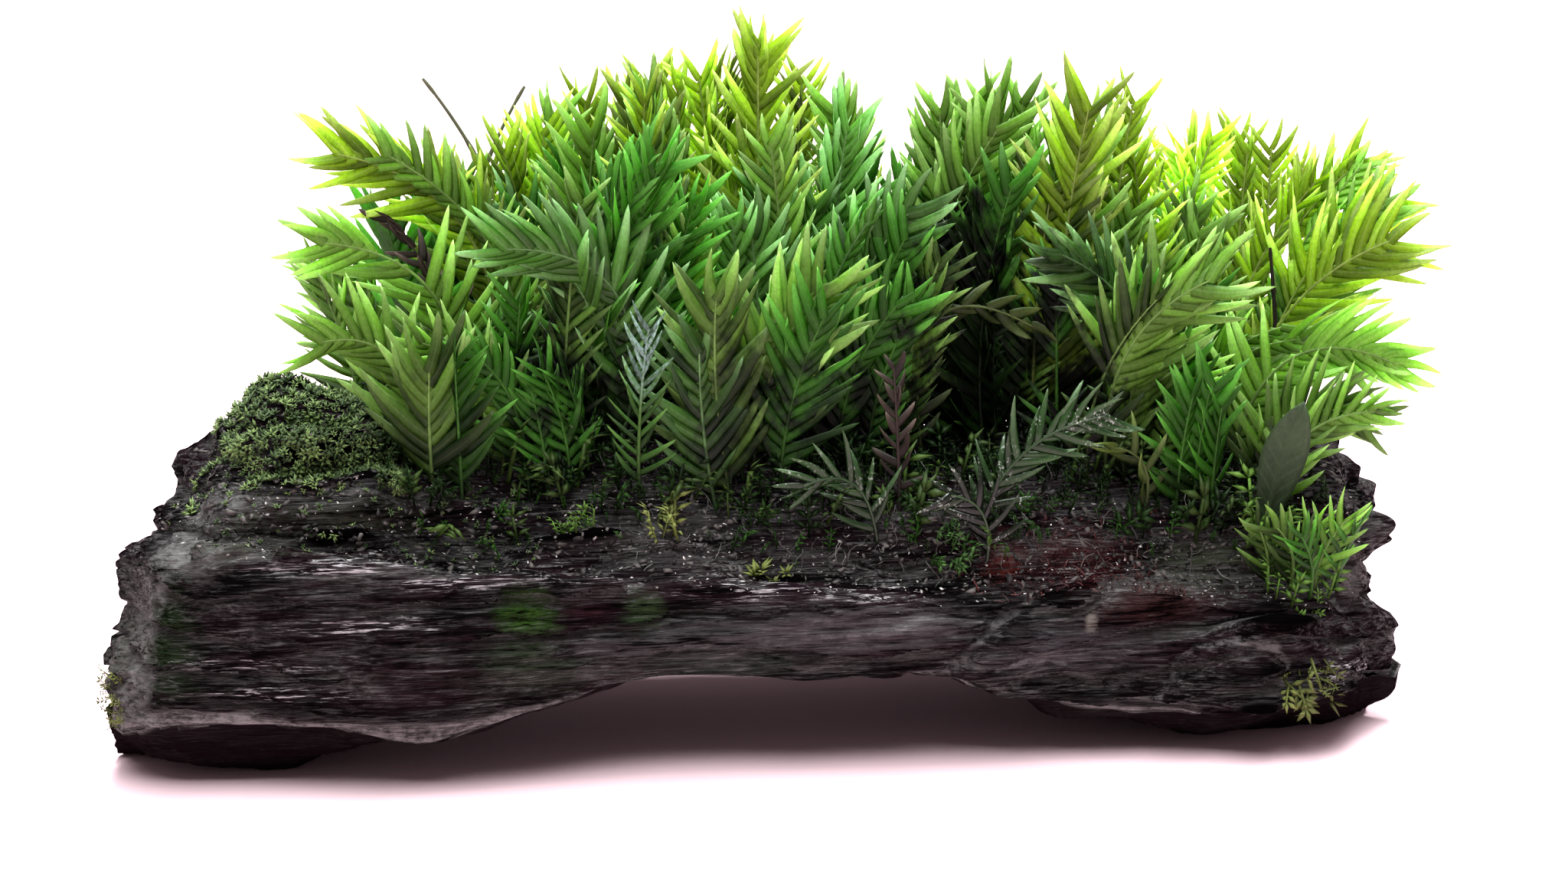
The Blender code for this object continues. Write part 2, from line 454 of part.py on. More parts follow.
def oval_leaf_mesh(log_tree):
    """A spoon-shaped leaf on a short stalk: one flat closed body that swells and tapers along its length."""
    root_xy, middle, tip, half_width, thickness = OVAL_LEAF
    root = Vector((*root_xy, ground_under(log_tree, *root_xy) + ROOT_GAP))
    steps = OVAL_LEAF_RINGS
    curve = stem_curve(root, Vector(middle), Vector(tip), steps)
    facing = facing_from_turn(0.0)
    points = []
    faces = []
    for i in range(steps):
        side, outward = stem_frame(curve, i, facing)[1:]
        swell = OVAL_LEAF_STALK + math.sin(math.pi * (i / steps) ** 1.5) * (half_width - OVAL_LEAF_STALK)
        across = side * swell
        through = outward * (0.5 * thickness)
        points += [curve[i] + across, curve[i] + through, curve[i] - across, curve[i] - through]
    for ring in range(steps - 1):
        for k in range(4):
            a, b = 4 * ring + k, 4 * ring + (k + 1) % 4
            faces += [(a, b, b + 4), (a, b + 4, a + 4)]
    faces += [(0, 3, 2), (0, 2, 1)]
    points.append(curve[-1])
    top = 4 * (steps - 1)
    faces += [(top + k, top + (k + 1) % 4, len(points) - 1) for k in range(4)]
    return points, faces


def build():
    """The log, then the broad leaf and every frond and stalk on it."""
    remove_everything()
    log_points, log_faces = log_mesh()
    add_object("driftwood", "bark", log_points, log_faces)
    log_tree = BVHTree.FromPolygons(log_points, log_faces)
    points, faces = oval_leaf_mesh(log_tree)
    add_object("oval_leaf", "wet", points, turned_faces(points, faces))
    for row in FRONDS + STALKS:
        points, faces = standing_mesh(row, log_tree)
        add_object(row[0], row[1], points, turned_faces(points, faces))


build()
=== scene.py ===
"""Fissidens moss on driftwood, dressed for its portrait.

The wet, dark log gets its fibres, ledges and cracks. Every frond gets its full set of thin leaves.
Between them stand smaller shoots, and low moss creeps over the wood.
Sizes in the tables are millimetres, in the frame of the fronds' list; hang_on turns them to metres.
"""

import json
import math
import random

import bmesh
import bpy
from mathutils import Matrix, Vector, noise
from mathutils.bvhtree import BVHTree

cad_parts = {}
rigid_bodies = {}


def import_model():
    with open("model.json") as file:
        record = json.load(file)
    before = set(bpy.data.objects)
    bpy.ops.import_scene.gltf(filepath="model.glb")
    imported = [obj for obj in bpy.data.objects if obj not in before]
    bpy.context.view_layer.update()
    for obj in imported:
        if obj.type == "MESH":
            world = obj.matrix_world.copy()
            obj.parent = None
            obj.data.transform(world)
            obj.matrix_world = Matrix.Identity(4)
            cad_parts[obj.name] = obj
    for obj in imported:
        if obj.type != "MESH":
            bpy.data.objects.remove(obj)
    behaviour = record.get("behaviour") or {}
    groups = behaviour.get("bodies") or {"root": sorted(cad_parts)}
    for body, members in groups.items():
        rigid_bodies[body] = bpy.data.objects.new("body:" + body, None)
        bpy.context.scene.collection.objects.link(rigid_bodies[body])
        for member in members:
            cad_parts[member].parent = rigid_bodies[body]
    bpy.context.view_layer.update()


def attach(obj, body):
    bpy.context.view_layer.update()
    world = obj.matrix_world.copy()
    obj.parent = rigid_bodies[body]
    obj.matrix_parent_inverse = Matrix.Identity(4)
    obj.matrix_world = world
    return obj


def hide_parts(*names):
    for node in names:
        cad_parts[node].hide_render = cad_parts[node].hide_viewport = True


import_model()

MM = 0.001
# The middle of everything in plan, which becomes the origin
PLAN_MIDDLE = (1.85, -0.5)

# The log: relief, broken ends, and the fineness of its skin from each rail to the next one
BARK_LUMPS = 0.55
BARK_GRAIN = 0.50
FIBRE_HEIGHT = 0.34
THREAD_HEIGHT = 0.15
PIT_HEIGHT = 0.05
LEDGE_STEP = 0.62
LEDGE_PITCH = 1.9
RIM_HEIGHT = 0.35
RIM_SPREAD = 0.30
BROKEN_END_DEPTH = 1.3
BROKEN_END_JAGS = 1.2
END_ROUGHNESS = 0.9
END_RINGS = (0.12, 0.26, 0.42, 0.60, 0.80)
TORN_STATIONS = 7
ROUND_LUMP = 3.4
ROUND_LUMP_MIDDLE = 0.17
SPLINTER_SHARE = 0.25
WOOD_STATIONS = 206
RING_POINTS = (58, 64, 22, 34, 56, 42, 28, 30, 30, 26, 16, 12, 26)
WOOD_RING = sum(RING_POINTS)
# The log's stations crowd towards its ends along a cosine that starts at this share of its half turn
END_CROWDING = 0.12
# Band of the skin that the middle of a broken end takes its look from
SHELF_BAND = 4.0
# Depth behind which there are no folds and hollows, and where the front stops bulging
FOLDS_END = -3.0
FRONT_BULGE = -13.6

# Roots lie this deep in the wood, whose top is looked for from above everything
ROOT_DEPTH = 1.0
ABOVE_ALL = 60.0
# Fronds: shares are of the stem's length or of the leaf's, angles in degrees
BARE_SHARE = 0.10
BARE_SHOOTS = {"far_right_fan_shoot": 0.44, "right_front_shoot": 0.40}
CROWN_BARE_SHARE = 0.48
STEM_STEPS = 60
STEM_TWIST = 50.0
STEM_RADIUS = 0.125
STEM_PALENESS = 0.8
STALK_RADIUS = 0.225
STALK_JOINTS = 34.0
SHORTEST_LEAF = 0.62
LOWEST_LEAF_ANGLE = 56.0
HIGHEST_LEAF_ANGLE = 36.0
LEAF_ANGLE_JITTER = 9.0
LEAF_DROOP = 0.16
LEAF_STRETCH = 1.04
FEWEST_LEAVES = 6
END_LEAF = 0.7

# A leaf's outline: place along it, half width; and its section: place across, height of the two faces
LEAF_OUTLINE = ((0.0, 0.95), (0.20, 1.0), (0.46, 0.90), (0.72, 0.62), (0.90, 0.34))
LEAF_SECTION = ((-1.0, 0.0), (-0.5, 0.030), (0.0, 0.055), (0.5, 0.030), (1.0, 0.0), (0.0, -0.035))
LEAF_FOLD = 0.25
# Shapes of leaf: how far it bends towards the frond's tip, curls down and twists, in leaf widths.
# The inner half stays flat, so that the leaves of a frond merge into one blade along its stem.
LEAF_VARIANTS = ((0.3, 0.5, 0.5), (0.9, 1.2, -0.3), (1.5, -0.5, 0.9))

# The one broad leaf at the right: root, half way, tip, half width, thickness, half width of its stalk; rings;
# its section, place across and height of its two faces
OVAL_LEAF = ((27.0, -7.2), (28.0, -8.3, 16.4), (28.6, -9.0, 18.6), 1.1, 0.35, 0.22)
BROAD_LEAF_RINGS = 16
BROAD_LEAF_SECTION = ((-1.0, 0.0), (-0.7, 0.7), (-0.35, 0.9), (-0.1, 1.0), (0.0, 1.5), (0.1, 1.0),
                      (0.35, 0.9), (0.7, 0.7), (1.0, 0.0), (0.6, -0.8), (0.0, -1.0), (-0.6, -0.8))

# How each kind of growth is grown: leaf width against its length, gap between leaves, curl, unevenness
GROWTH = {
    "bright": (0.150, 0.310, 1.0, 1.2), "deep": (0.150, 0.320, 1.1, 1.2), "blue": (0.160, 0.325, 1.0, 1.1),
    "yellow": (0.128, 0.300, 1.0, 1.4), "pale": (0.120, 0.320, 1.4, 1.8), "wet": (0.145, 0.330, 1.2, 1.4),
    "olive": (0.240, 0.620, 1.4, 1.6), "brown": (0.260, 0.400, 1.8, 2.2),
}

# Colours of the wood
# Painted shade, for cracks, hollows and the dark line above the rim
WOOD_PAINTED_SHADE = (0.0018, 0.0015, 0.0017)
WOOD_BLACK = (0.0042, 0.0037, 0.0040)
# Painted shade under the log
WOOD_UNDERSIDE_SHADE = (0.0110, 0.0060, 0.0080)
WOOD_PURPLE = (0.0150, 0.0085, 0.0110)
WOOD_GREY = (0.068, 0.068, 0.065)
WOOD_PALE = (0.215, 0.218, 0.215)
WOOD_RIM = (0.245, 0.238, 0.232)
# Painted highlight on wet streaks of the grain
WOOD_PAINTED_GLINT = (0.700, 0.680, 0.700)
# Painted glints on wet leaves, bloom on pale ones; dark and light tone and roughness of what lies on the wood
WET_PAINTED_GLINT = (0.42, 0.48, 0.42)
PALE_BLOOM = (0.400, 0.620, 0.560)
SPECK_LOOKS = {
    "velvet": ((0.027, 0.057, 0.014), (0.145, 0.230, 0.064), 0.75),
    "red": ((0.022, 0.004, 0.005), (0.085, 0.016, 0.014), 0.60),
    "crumb": ((0.006, 0.005, 0.005), (0.080, 0.072, 0.066), 0.65),
    "hair": ((0.020, 0.020, 0.018), (0.160, 0.165, 0.150), 0.45),
    # The chips' light tone partly stands in for glints of wet grain: painted highlights
    "chip": ((0.120, 0.110, 0.100), (0.600, 0.590, 0.560), 0.30),
}

# Side shoots of the listed fronds: their kinds, how far off and how high against the frond they stand
COMPANIONS = {
    "bright": ("deep", "bright"), "deep": ("deep", "deep"), "blue": ("deep", "blue"),
    "yellow": ("bright", "yellow"),
}
COMPANION_SEED = 12
COMPANION_FAN = 60.0
COMPANION_GAP = (0.9, 1.8)
COMPANION_HEIGHT = (0.55, 0.86)
COMPANION_LEAF = (0.75, 0.95)
COMPANION_TURN = 45.0
# Shoots in the thickets: how far their tips lean and turn, and how high the lowest is
THICKET_LEAN = 3.2
THICKET_TURN = 50.0
SHORTEST_SHOOT = 4.5
# No side shoot hides these withered fronds: place along the log, depth, height from which on, reach
KEPT_CLEAR = ((-18.6, 0.6, 22.0, 3.2), (29.6, 1.0, 20.0, 2.4))
# Where the seeds of each group's leaves start
FROND_SEED, THICKET_SEED, CROWN_SEED, SIDE_SEED, COVER_SEED = 100, 500, 700, 900, 60

# The photograph's view: lens and sensor, turn and rise in degrees, distance and target in millimetres
CAMERA_LENS = 85.0
CAMERA_SENSOR = 36.0
VIEW_TURN = -8.0
CAMERA_RISE = 12.0
CAMERA_DISTANCE = 201.48
CAMERA_TARGET = (0.25, 0.5, 15.3)

# The room: floor size, light and lamps (name, watts, width, depth, place, target) in metres
FLOOR_SIZE = 1.5
FLOOR_TINT = (0.96, 0.73, 0.79)
ROOM_LIGHT = 0.32
ROOM_TINT = (1.0, 0.80, 0.85)
LAMPS = (
    ("lamp_above", 3.2, 0.32, 0.32, (0.02, 0.00, 0.50), (0.0, 0.0, 0.01)),
    ("lamp_behind", 4.6, 0.32, 0.18, (0.07, 0.19, 0.48), (0.0, 0.0, 0.02)),
    ("lamp_in_front", 2.5, 0.36, 0.24, (-0.10, -0.24, 0.44), (0.0, 0.0, 0.02)),
)

# Places on the log that stand out or sink in: place, spread along each axis, height
KNOBS = (
    ("hole", (26.5, -12, 6.6), (2.6, 3, 0.8), -1.7),
    ("hole_brow", (26, -11.5, 8), (4, 3, 0.9), 0.5),
    ("low_right_knob", (34, -7.5, 2.6), (2.2, 3.5, 1.9), 1.2),
    ("high_right_knob", (35, 0.5, 12.8), (1.8, 3, 1.6), 1.9),
    ("right_cheek", (33, -7.5, 7.4), (1.8, 3, 1.5), 0.7),
    ("right_fold", (12, -11.6, 5.6), (2.6, 2.6, 1.4), -0.7),
    ("right_lobe", (17.5, -11.8, 4.6), (4.6, 3, 1.6), 0.6),
    ("left_cheek", (-33.6, -7, 9), (2, 4, 2), 0.5),
    ("left_lip", (-24.5, -6.6, 16.4), (4.6, 1.8, 0.8), 0.8),
    ("left_lip_shade", (-22, -7.6, 14.6), (5, 1.6, 0.8), -0.8),
)

# Rails along the log, from the front lower rim up over the top and back underneath
RAILS = (
    ("front_rim", ((-34.4, -6.5, 3.3), (-31.8, -10.8, 3.4), (-25, -11.9, 3.2), (-19, -12, 3),
     (-12, -12, 3.8), (-5, -11.8, 4.6), (3, -11.5, 4.8), (8, -11.3, 4.4), (12, -11.4, 3.1),
     (17, -11.5, 2.4), (24, -11.4, 2.1), (31, -10.3, 1.9), (35, -7, 1.9))),
    ("front_belly", ((-34.9, -6.2, 6.3), (-32.4, -11, 7.5), (-25, -12.7, 7.6), (-15, -12.9, 7.4),
     (-5, -12.5, 7.4), (5, -12.1, 7.1), (15, -12.3, 6.1), (25, -12.2, 5.3), (31.6, -10.8, 5), (35.2, -6, 5))),
    ("ledge", ((-34, -5, 10.2), (-31.4, -10, 11.9), (-24, -11.9, 11.7), (-16, -12, 11), (-8, -12, 10.2),
     (0, -11.8, 9.3), (8, -11.5, 8.8), (16, -11.4, 8.5), (24, -11.2, 8), (31, -10, 7.8), (34.6, -5, 7.6))),
    ("ledge_top", ((-33.8, -4.2, 10.9), (-30.6, -9.4, 12.7), (-24, -11.2, 12.3), (-16, -11.4, 11.5),
     (-8, -11.4, 10.7), (0, -11.2, 9.8), (8, -10.9, 9.3), (16, -10.8, 9), (24, -10.6, 8.5), (31, -9.4, 8.3),
     (34.5, -4.4, 8.2))),
    ("shelf", ((-33, -3, 11.8), (-29.4, -8, 13), (-24, -9.3, 12.5), (-16, -9.5, 11.5), (-8, -9.5, 10.7),
     (0, -9.3, 10), (8, -9, 9.8), (16, -8.8, 9.9), (24, -8.4, 9.6), (31, -7.4, 9.6), (34.4, -3.5, 9.4))),
    ("shoulder", ((-31.6, -1, 13.4), (-28, -5.6, 15.8), (-24, -6.4, 15.9), (-16, -6, 15), (-8, -6, 14.5),
     (0, -6, 13.8), (8, -6, 13.2), (16, -6, 12.9), (25, -5.9, 12.6), (31, -5, 12.3), (34.8, -1.5, 11.6))),
    ("crest", ((-30.2, 1, 15), (-26.5, -1, 18.7), (-23, -1.4, 18.6), (-16, -1, 16.7), (-8, -1, 15.8),
     (0, -1, 15.2), (8, -1, 14.6), (16, -1, 14.2), (25, -1, 13.9), (31.6, -0.5, 13.8), (35.4, 1, 12.7))),
    ("back_crest", ((-29.6, 3.5, 14.6), (-26, 4, 17.9), (-22, 4, 17.6), (-14, 4.4, 16), (-6, 4.5, 15.3),
     (2, 4.5, 14.9), (10, 4.5, 14.6), (18, 4.3, 14.4), (26, 4, 14.2), (32.4, 3.5, 14), (35.6, 3, 12.9))),
    ("back_shoulder", ((-30, 5.5, 12), (-26, 8.2, 14), (-18, 9.2, 13.6), (-8, 9.2, 13), (2, 9, 12.8),
     (12, 8.8, 12.6), (22, 8.2, 12.3), (31, 7, 11.8), (35.6, 5, 10.6))),
    ("back_belly", ((-31, 6.2, 8), (-27, 10.2, 8.6), (-18, 11.5, 8.4), (-6, 11.8, 8.2), (6, 11.5, 8.2),
     (18, 10.8, 7.8), (28, 9.5, 7.3), (35.2, 6, 6.6))),
    ("back_rim", ((-31, 4.8, 3.6), (-27, 9.3, 3.2), (-18, 10.6, 3.8), (-6, 10.9, 5), (6, 10.6, 5.2),
     (16, 10.2, 3.9), (26, 9, 2.6), (34.6, 5.6, 2.4))),
    ("back_under", ((-32.4, 2.4, -0.4), (-27.5, 4.3, -0.6), (-22, 5, 0.6), (-16, 5.2, 3.9), (-6, 5.4, 5.9),
     (6, 5.4, 5.9), (13, 5.1, 4), (19, 4.6, 0.9), (24, 4.2, -0.5), (31, 3.6, -0.6), (34.2, 2.2, -0.3))),
    ("front_under", ((-33.6, -2.6, -0.3), (-28.8, -4.6, -0.4), (-22, -5.4, 0.9), (-16, -6.5, 3.7),
     (-6, -6.3, 5.6), (6, -6, 5.7), (12, -5.4, 4), (18, -4.4, 1.2), (23, -4, -0.1), (30, -4, -0.3),
     (34.2, -2.8, -0.2))),
)

# Each frond: name, kind, root (x, y), a point half way up the stem, tip, leaf length, turn about
# the upright. Depths and turns are set so that each stands clear of its neighbours.
FRONDS = (
    ("left_front", "bright", (-17.2, -6), (-17.4, -7, 19.8), (-17.3, -7.5, 24.2), 4.6, 8),
    ("left_low", "bright", (-18.6, -3.5), (-21, -4.5, 22.3), (-25.4, -5.5, 22.4), 4, 0),
    ("left_middle", "bright", (-16, -1), (-18.4, -2.5, 25.8), (-25.2, -3.5, 28.2), 4.2, -6),
    ("left_high", "yellow", (-13.8, 2), (-17, 1, 29.3), (-24.2, 0, 32.6), 4.2, 5),
    ("midleft_arch", "blue", (-7.3, -2), (-8.9, -3.5, 25.8), (-16, -5, 27.7), 4.4, 8),
    ("centre_big", "bright", (0, -3.5), (1.8, -5, 22.3), (5.1, -6, 27.3), 4.9, -8),
    ("centre_left", "blue", (-1.2, -5.2), (-2.4, -5.9, 21.3), (-2.3, -6.4, 27.3), 4.4, 12),
    ("right_front", "bright", (19.3, -4), (22, -5.5, 23.3), (27, -6, 26.3), 4.8, 0),
    ("right_blue", "blue", (21.9, -2), (19.2, -3.5, 24.1), (14.2, -4.5, 27.4), 4, 6),
    ("far_right_fan", "yellow", (27.8, 0.5), (31.2, -1, 23.3), (38.1, -2, 27.6), 4.8, 0),
    ("far_right_arch", "bright", (26, -3), (30.7, -4, 20.4), (37.8, -4.5, 19), 4.2, -5),
    ("far_right_low", "bright", (27.4, -5), (30.6, -5.8, 17.4), (35.4, -6, 16.4), 3.8, 10),
    ("right_low_front", "deep", (23.6, -5.5), (23.9, -6.5, 17.5), (24.5, -7, 21.4), 3.4, 20),
    ("right_low_arch", "bright", (24.7, -1.3), (26.8, -2.1, 19.6), (32.9, -2.6, 21.5), 4, 10),
    ("centre_right", "deep", (4.8, -2), (6.5, -3, 21.5), (9.2, -4, 25.5), 4, 12),
    ("midleft_low", "bright", (-13.7, -4), (-15.2, -5.5, 20.9), (-19.4, -6.5, 23.4), 3, 15),
    ("midleft_dark", "deep", (-10, -5), (-10.8, -5, 19.1), (-12.1, -5, 22.3), 2.8, 25),
    ("midleft_big", "deep", (-7.3, 0), (-7.3, -1, 25.6), (-4.3, -1.5, 33.4), 4.8, -6),
    ("midleft_back", "blue", (-10.6, 2.1), (-11.2, 3.1, 24.2), (-13.8, 3.1, 29.9), 4, 20),
    ("midleft_tall", "deep", (-8.3, 3), (-8.4, 2.5, 25.5), (-7.7, 2, 34.8), 4.2, 40),
    ("top_centre", "yellow", (1.1, 3.5), (1.1, 3, 29), (1.1, 3, 38.9), 4.2, 0),
    ("centre_blue", "blue", (1.2, 0.5), (0.7, 0, 22.8), (0, -0.5, 29.7), 4, -25),
    ("centre_right_blue", "blue", (5.7, 0), (6.6, -1, 24.9), (10.2, -2, 30.3), 4.2, 8),
    ("centre_back", "blue", (5.2, 2.5), (5.2, 2.5, 25.7), (6.2, 2.5, 34.7), 4.2, -45),
    ("right_arch_back", "deep", (11.6, 2), (11.5, 2, 26.9), (15.5, 2, 34.5), 4.4, 0),
    ("right_inner", "deep", (13.5, 0), (13.4, 0, 24.5), (15.2, 0, 31.6), 4, 45),
    ("right_tall", "yellow", (17.6, 1.5), (17.9, 1, 26.9), (19.5, 1, 36.3), 4.8, 0),
    ("far_right_high", "yellow", (28.5, 3.5), (30.2, 3.5, 23.9), (36.5, 3.5, 31.4), 4, 0),
    ("far_right_back", "yellow", (29.1, 2.2), (31.9, 1.5, 23.6), (37.5, 1, 29.8), 4.2, 10),
    ("right_back", "bright", (24.8, 2.5), (25, 2.5, 21.8), (26.2, 2.5, 28.4), 4, -45),
    ("yellow_left", "yellow", (-9.6, 5), (-10, 5, 25.2), (-10.6, 5, 34.4), 4, -10),
    ("yellow_middle", "yellow", (-5.2, 4.5), (-4.7, 5, 25), (-5.1, 5, 35.6), 4, 10),
    ("yellow_inner", "yellow", (-2.9, 6), (-2.5, 7.8, 24.7), (-2.3, 8.8, 34.4), 3.8, 60),
    ("top_left", "yellow", (-0.5, 6), (-0.4, 6.5, 27.3), (0, 6.5, 37), 3.6, -47),
    ("top_right", "yellow", (3.6, 5.7), (3.6, 6.4, 26), (4, 6.4, 35.5), 3.8, 40),
    ("right_tall_back", "bright", (17.4, 4.5), (17.6, 4.5, 25.1), (18.2, 4.5, 34), 3.8, 60),
    ("thin_yellow_a", "yellow", (23.7, 5.2), (24.8, 5.4, 23.5), (27.6, 5.4, 32.5), 2.8, 10),
    ("thin_yellow_b", "yellow", (22.3, 6.5), (23.8, 7.8, 22.8), (25.2, 7.8, 31.2), 3, -50),
    ("thin_yellow_c", "yellow", (27.9, 5.2), (28.7, 5.9, 23.6), (29.5, 6.4, 31.8), 3, 55),
    ("dry_upright", "pale", (-6.4, -6), (-6.3, -6.5, 19.8), (-5.8, -7, 24.4), 2.2, 0),
    ("olive_sprig", "olive", (9.7, -2.3), (11.7, -2.6, 23), (16.6, -3.1, 21.4), 2.2, 0),
    ("withered_left", "brown", (-15.2, 0.8), (-16.4, 0.8, 24), (-19.8, 0.8, 28.8), 1.7, 20),
    ("withered_centre", "brown", (7.4, -6.5), (7.1, -7.2, 17.3), (6.8, -7.4, 21.6), 1.4, 0),
    ("low_wet_left", "wet", (6.1, -7.4), (3.6, -8.2, 15), (0.2, -9, 14.4), 2.6, 0),
    ("low_wet_right", "wet", (11.1, -7.3), (15.1, -8.2, 17), (19.8, -8.6, 18.6), 2.8, 0),
    ("low_spiky", "wet", (11.6, -8.4), (10.2, -9.3, 14), (8, -9.8, 14.6), 2.4, 0),
    ("low_curl", "olive", (20.4, -6.4), (19.6, -7.6, 15.8), (17.4, -8.4, 16.6), 2, 0),
    ("rim_tuft_a", "bright", (29.6, -8.2), (30.5, -9.6, 11.7), (31.8, -10.2, 13.6), 2.6, 0),
    ("rim_tuft_b", "bright", (27.9, -8.6), (27.2, -10.2, 11.8), (25.8, -10.8, 13.2), 2.4, 0),
    ("back_left", "bright", (-19, 6), (-20.5, 8.5, 21.5), (-23, 10.5, 26), 4, 160),
    ("back_midleft", "deep", (-14.2, 4.6), (-14.8, 4.8, 23), (-16.2, 4.8, 30), 4, 0),
    ("back_centre", "bright", (-3.5, 7.8), (-3.8, 10.4, 20.5), (-2, 12.2, 26), 4, 180),
    ("back_centre_right", "deep", (9.4, 6.4), (9.8, 7, 22.5), (10.8, 7.4, 30.5), 4.2, -20),
    ("back_right", "bright", (15, 7.4), (15, 9, 21.5), (14, 10, 29), 4, 190),
    ("back_far_right", "bright", (26, 6.8), (27.5, 9, 19), (31, 10.5, 24), 4, 175),
)

# Leafless stalks: name, kind, root, half way, tip
STALKS = (
    ("dry_stalk_a", "stalk", (-11.2, 6.7), (-13, 6.9, 28.2), (-16.8, 6.9, 34.6)),
    ("dry_stalk_b", "stalk", (-15, 6.7), (-13.8, 7.7, 28.6), (-11.2, 7.7, 34)),
    ("dark_stalk", "brown", (30.2, 1), (29.8, 1, 20.1), (29.3, 1, 25.2)),
)

# Thin light shoots behind the clump's crown: kind, root in plan, tip, leaf, turn
CROWN_SHOOTS = {
    "crown_left_shoot": (
        ("yellow", (-15.2, 5.7), (-16.7, 6, 31.6), 3, -30),
        ("bright", (-14.2, 6.2), (-14.8, 6.5, 31.2), 3, 20),
        ("yellow", (-12.9, 5.7), (-13.2, 6, 31.8), 3, -10),
        ("yellow", (-11.3, 6.5), (-11.3, 6.8, 33.5), 3.2, 35),
        ("bright", (-10, 6.1), (-9.7, 6.4, 34.8), 3.4, -25),
        ("yellow", (-8.2, 6.7), (-7.9, 7, 35.4), 3.4, 15),
    ),
    "crown_middle_shoot": (
        ("yellow", (-5.7, 6.5), (-5.9, 6.8, 35.7), 3.4, -20),
        ("yellow", (-4.3, 6.8), (-4.3, 7.2, 36.4), 3.5, 10),
        ("yellow", (-3, 5.9), (-2.8, 6.2, 36.2), 3.4, 35),
        ("yellow", (-0.4, 6.7), (-0.7, 7, 36.8), 3.2, -35),
        ("yellow", (1.6, 6.7), (1.6, 7, 38.5), 3.2, 0),
        ("yellow", (3.8, 6.7), (4.1, 7, 36.1), 3, 30),
    ),
    "crown_inner_shoot": (
        ("bright", (11.7, 4.3), (10.7, 4.6, 32.9), 2.8, -10),
        ("bright", (12, 3.9), (11.2, 4.2, 34.7), 3.2, -30),
        ("bright", (13.4, 4.5), (12.9, 4.8, 35.2), 3.6, 5),
        ("bright", (14.1, 3.9), (14.5, 4.2, 35.7), 3.6, 25),
        ("bright", (15.6, 4.7), (16.2, 5, 35.1), 3.2, -15),
    ),
    "crown_right_shoot": (
        ("yellow", (20.2, 3.7), (22.4, 4, 34.9), 2.8, 20),
        ("yellow", (28.6, 6.7), (29.1, 7, 32.6), 3, -20),
        ("yellow", (30.3, 6.1), (30.8, 6.4, 31.9), 2.8, 15),
        ("yellow", (31.9, 6.7), (32.7, 7, 30.6), 2.8, 40),
    ),
}

# Shoots of another kind than their clump's
OTHER_KINDS = {
    "inner_back_10": "yellow", "right_front_side_1": "bright", "midleft_tall": "bright",
    "centre_left": "bright", "far_right_low_side_1": "bright", "right_arch_back": "bright",
    "dark_gap_7": "bright",
}

# Shoots that are lighter (+) or darker (-) than their kind
TONES = {
    "inner_back_1": 0.5, "inner_back_5": -0.3, "inner_back_10": 0.4, "inner_back_26": 0.6,
    "left_front": -0.6, "left_front_side_1": -0.5, "left_middle": 0.4, "left_high": -0.1,
    "withered_left": 0.5, "low_left_7": -0.6, "midleft_tall": 0.1, "midleft_big_side_1": 0.5,
    "yellow_left": 0.6, "yellow_middle": -0.4, "dry_upright": -0.3, "centre_left": -0.5,
    "centre_left_side_2": -0.7, "centre_big": -0.1, "centre_blue_side_2": 1.1, "centre_right_blue": -0.3,
    "centre_right_blue_side_2": 0.9, "centre_back": 0.9, "top_left": -0.5, "top_right": -0.5,
    "low_middle_1": 0.6, "low_middle_8": -0.65, "low_spiky": -1, "olive_sprig": -0.6,
    "right_arch_back": -0.2, "right_tall": -0.1, "right_tall_side_2": -0.8, "right_blue": -0.45,
    "right_front_side_2": -1, "rim_tuft_b": -0.8, "rim_tuft_b_side_2": -0.8, "thin_yellow_a": 1.3,
    "thin_yellow_b": 0.9, "far_right_high_side_1": 1.2, "far_right_back": 0.3, "far_right_arch": 0.8,
    "far_right_low": -0.35, "far_right_low_side_2": -0.5,
}

# Low growth along strips of the wood: name, pattern, kind, from and to along the log, from and to
# across the skin's bands; then closest spacing, most to a square millimetre, smallest, largest,
# upright, light share
STRIPS = (
    ("dark_undergrowth", "sprigs", "deep", (-20.0, 31.0), (4.7, 8.1), (0.55, 1.5, 1.0, 2.8, 1.0, 0.1)),
    ("green_undergrowth", "sprigs", "bright", (-19.0, 30.0), (4.5, 8.3), (1.1, 0.22, 1.6, 3.6, 1.3, 0.2)),
    ("front_fringe", "sprigs", "deep", (-18.0, 30.0), (4.3, 5.2), (0.8, 0.6, 0.6, 1.8, 0.8, 0.25)),
    ("velvet_moss", "tufts", "velvet", (-28.5, -18.0), (4.9, 8.0), (0.24, 14.0, 0.3, 0.75, 0.4, 0.8)),
    ("velvet_dusting", "tufts", "velvet", (-30.0, -12.0), (3.9, 5.0), (0.5, 1.2, 0.2, 0.5, 0.4, 0.6)),
    ("red_moss", "threads", "red", (10.5, 21.0), (2.5, 4.6), (0.22, 7.0, 0.3, 0.75, 0.3, 0.8)),
    ("bark_crumbs", "crumbs", "crumb", (-30.0, 33.0), (3.3, 6.0), (0.2, 4.2, 0.08, 0.32, 0.2, 0.5)),
    ("silver_fibres", "hairs", "hair", (-8.0, 28.0), (3.8, 5.4), (0.35, 1.6, 0.5, 1.5, 0.1, 0.9)),
    # Pale crumbs: partly real pale specks, partly painted glints of wet grain
    ("pale_crumbs", "crumbs", "chip", (-31.0, 33.0), (2.4, 5.3), (0.3, 1.8, 0.04, 0.13, 0.2, 0.9)),
)

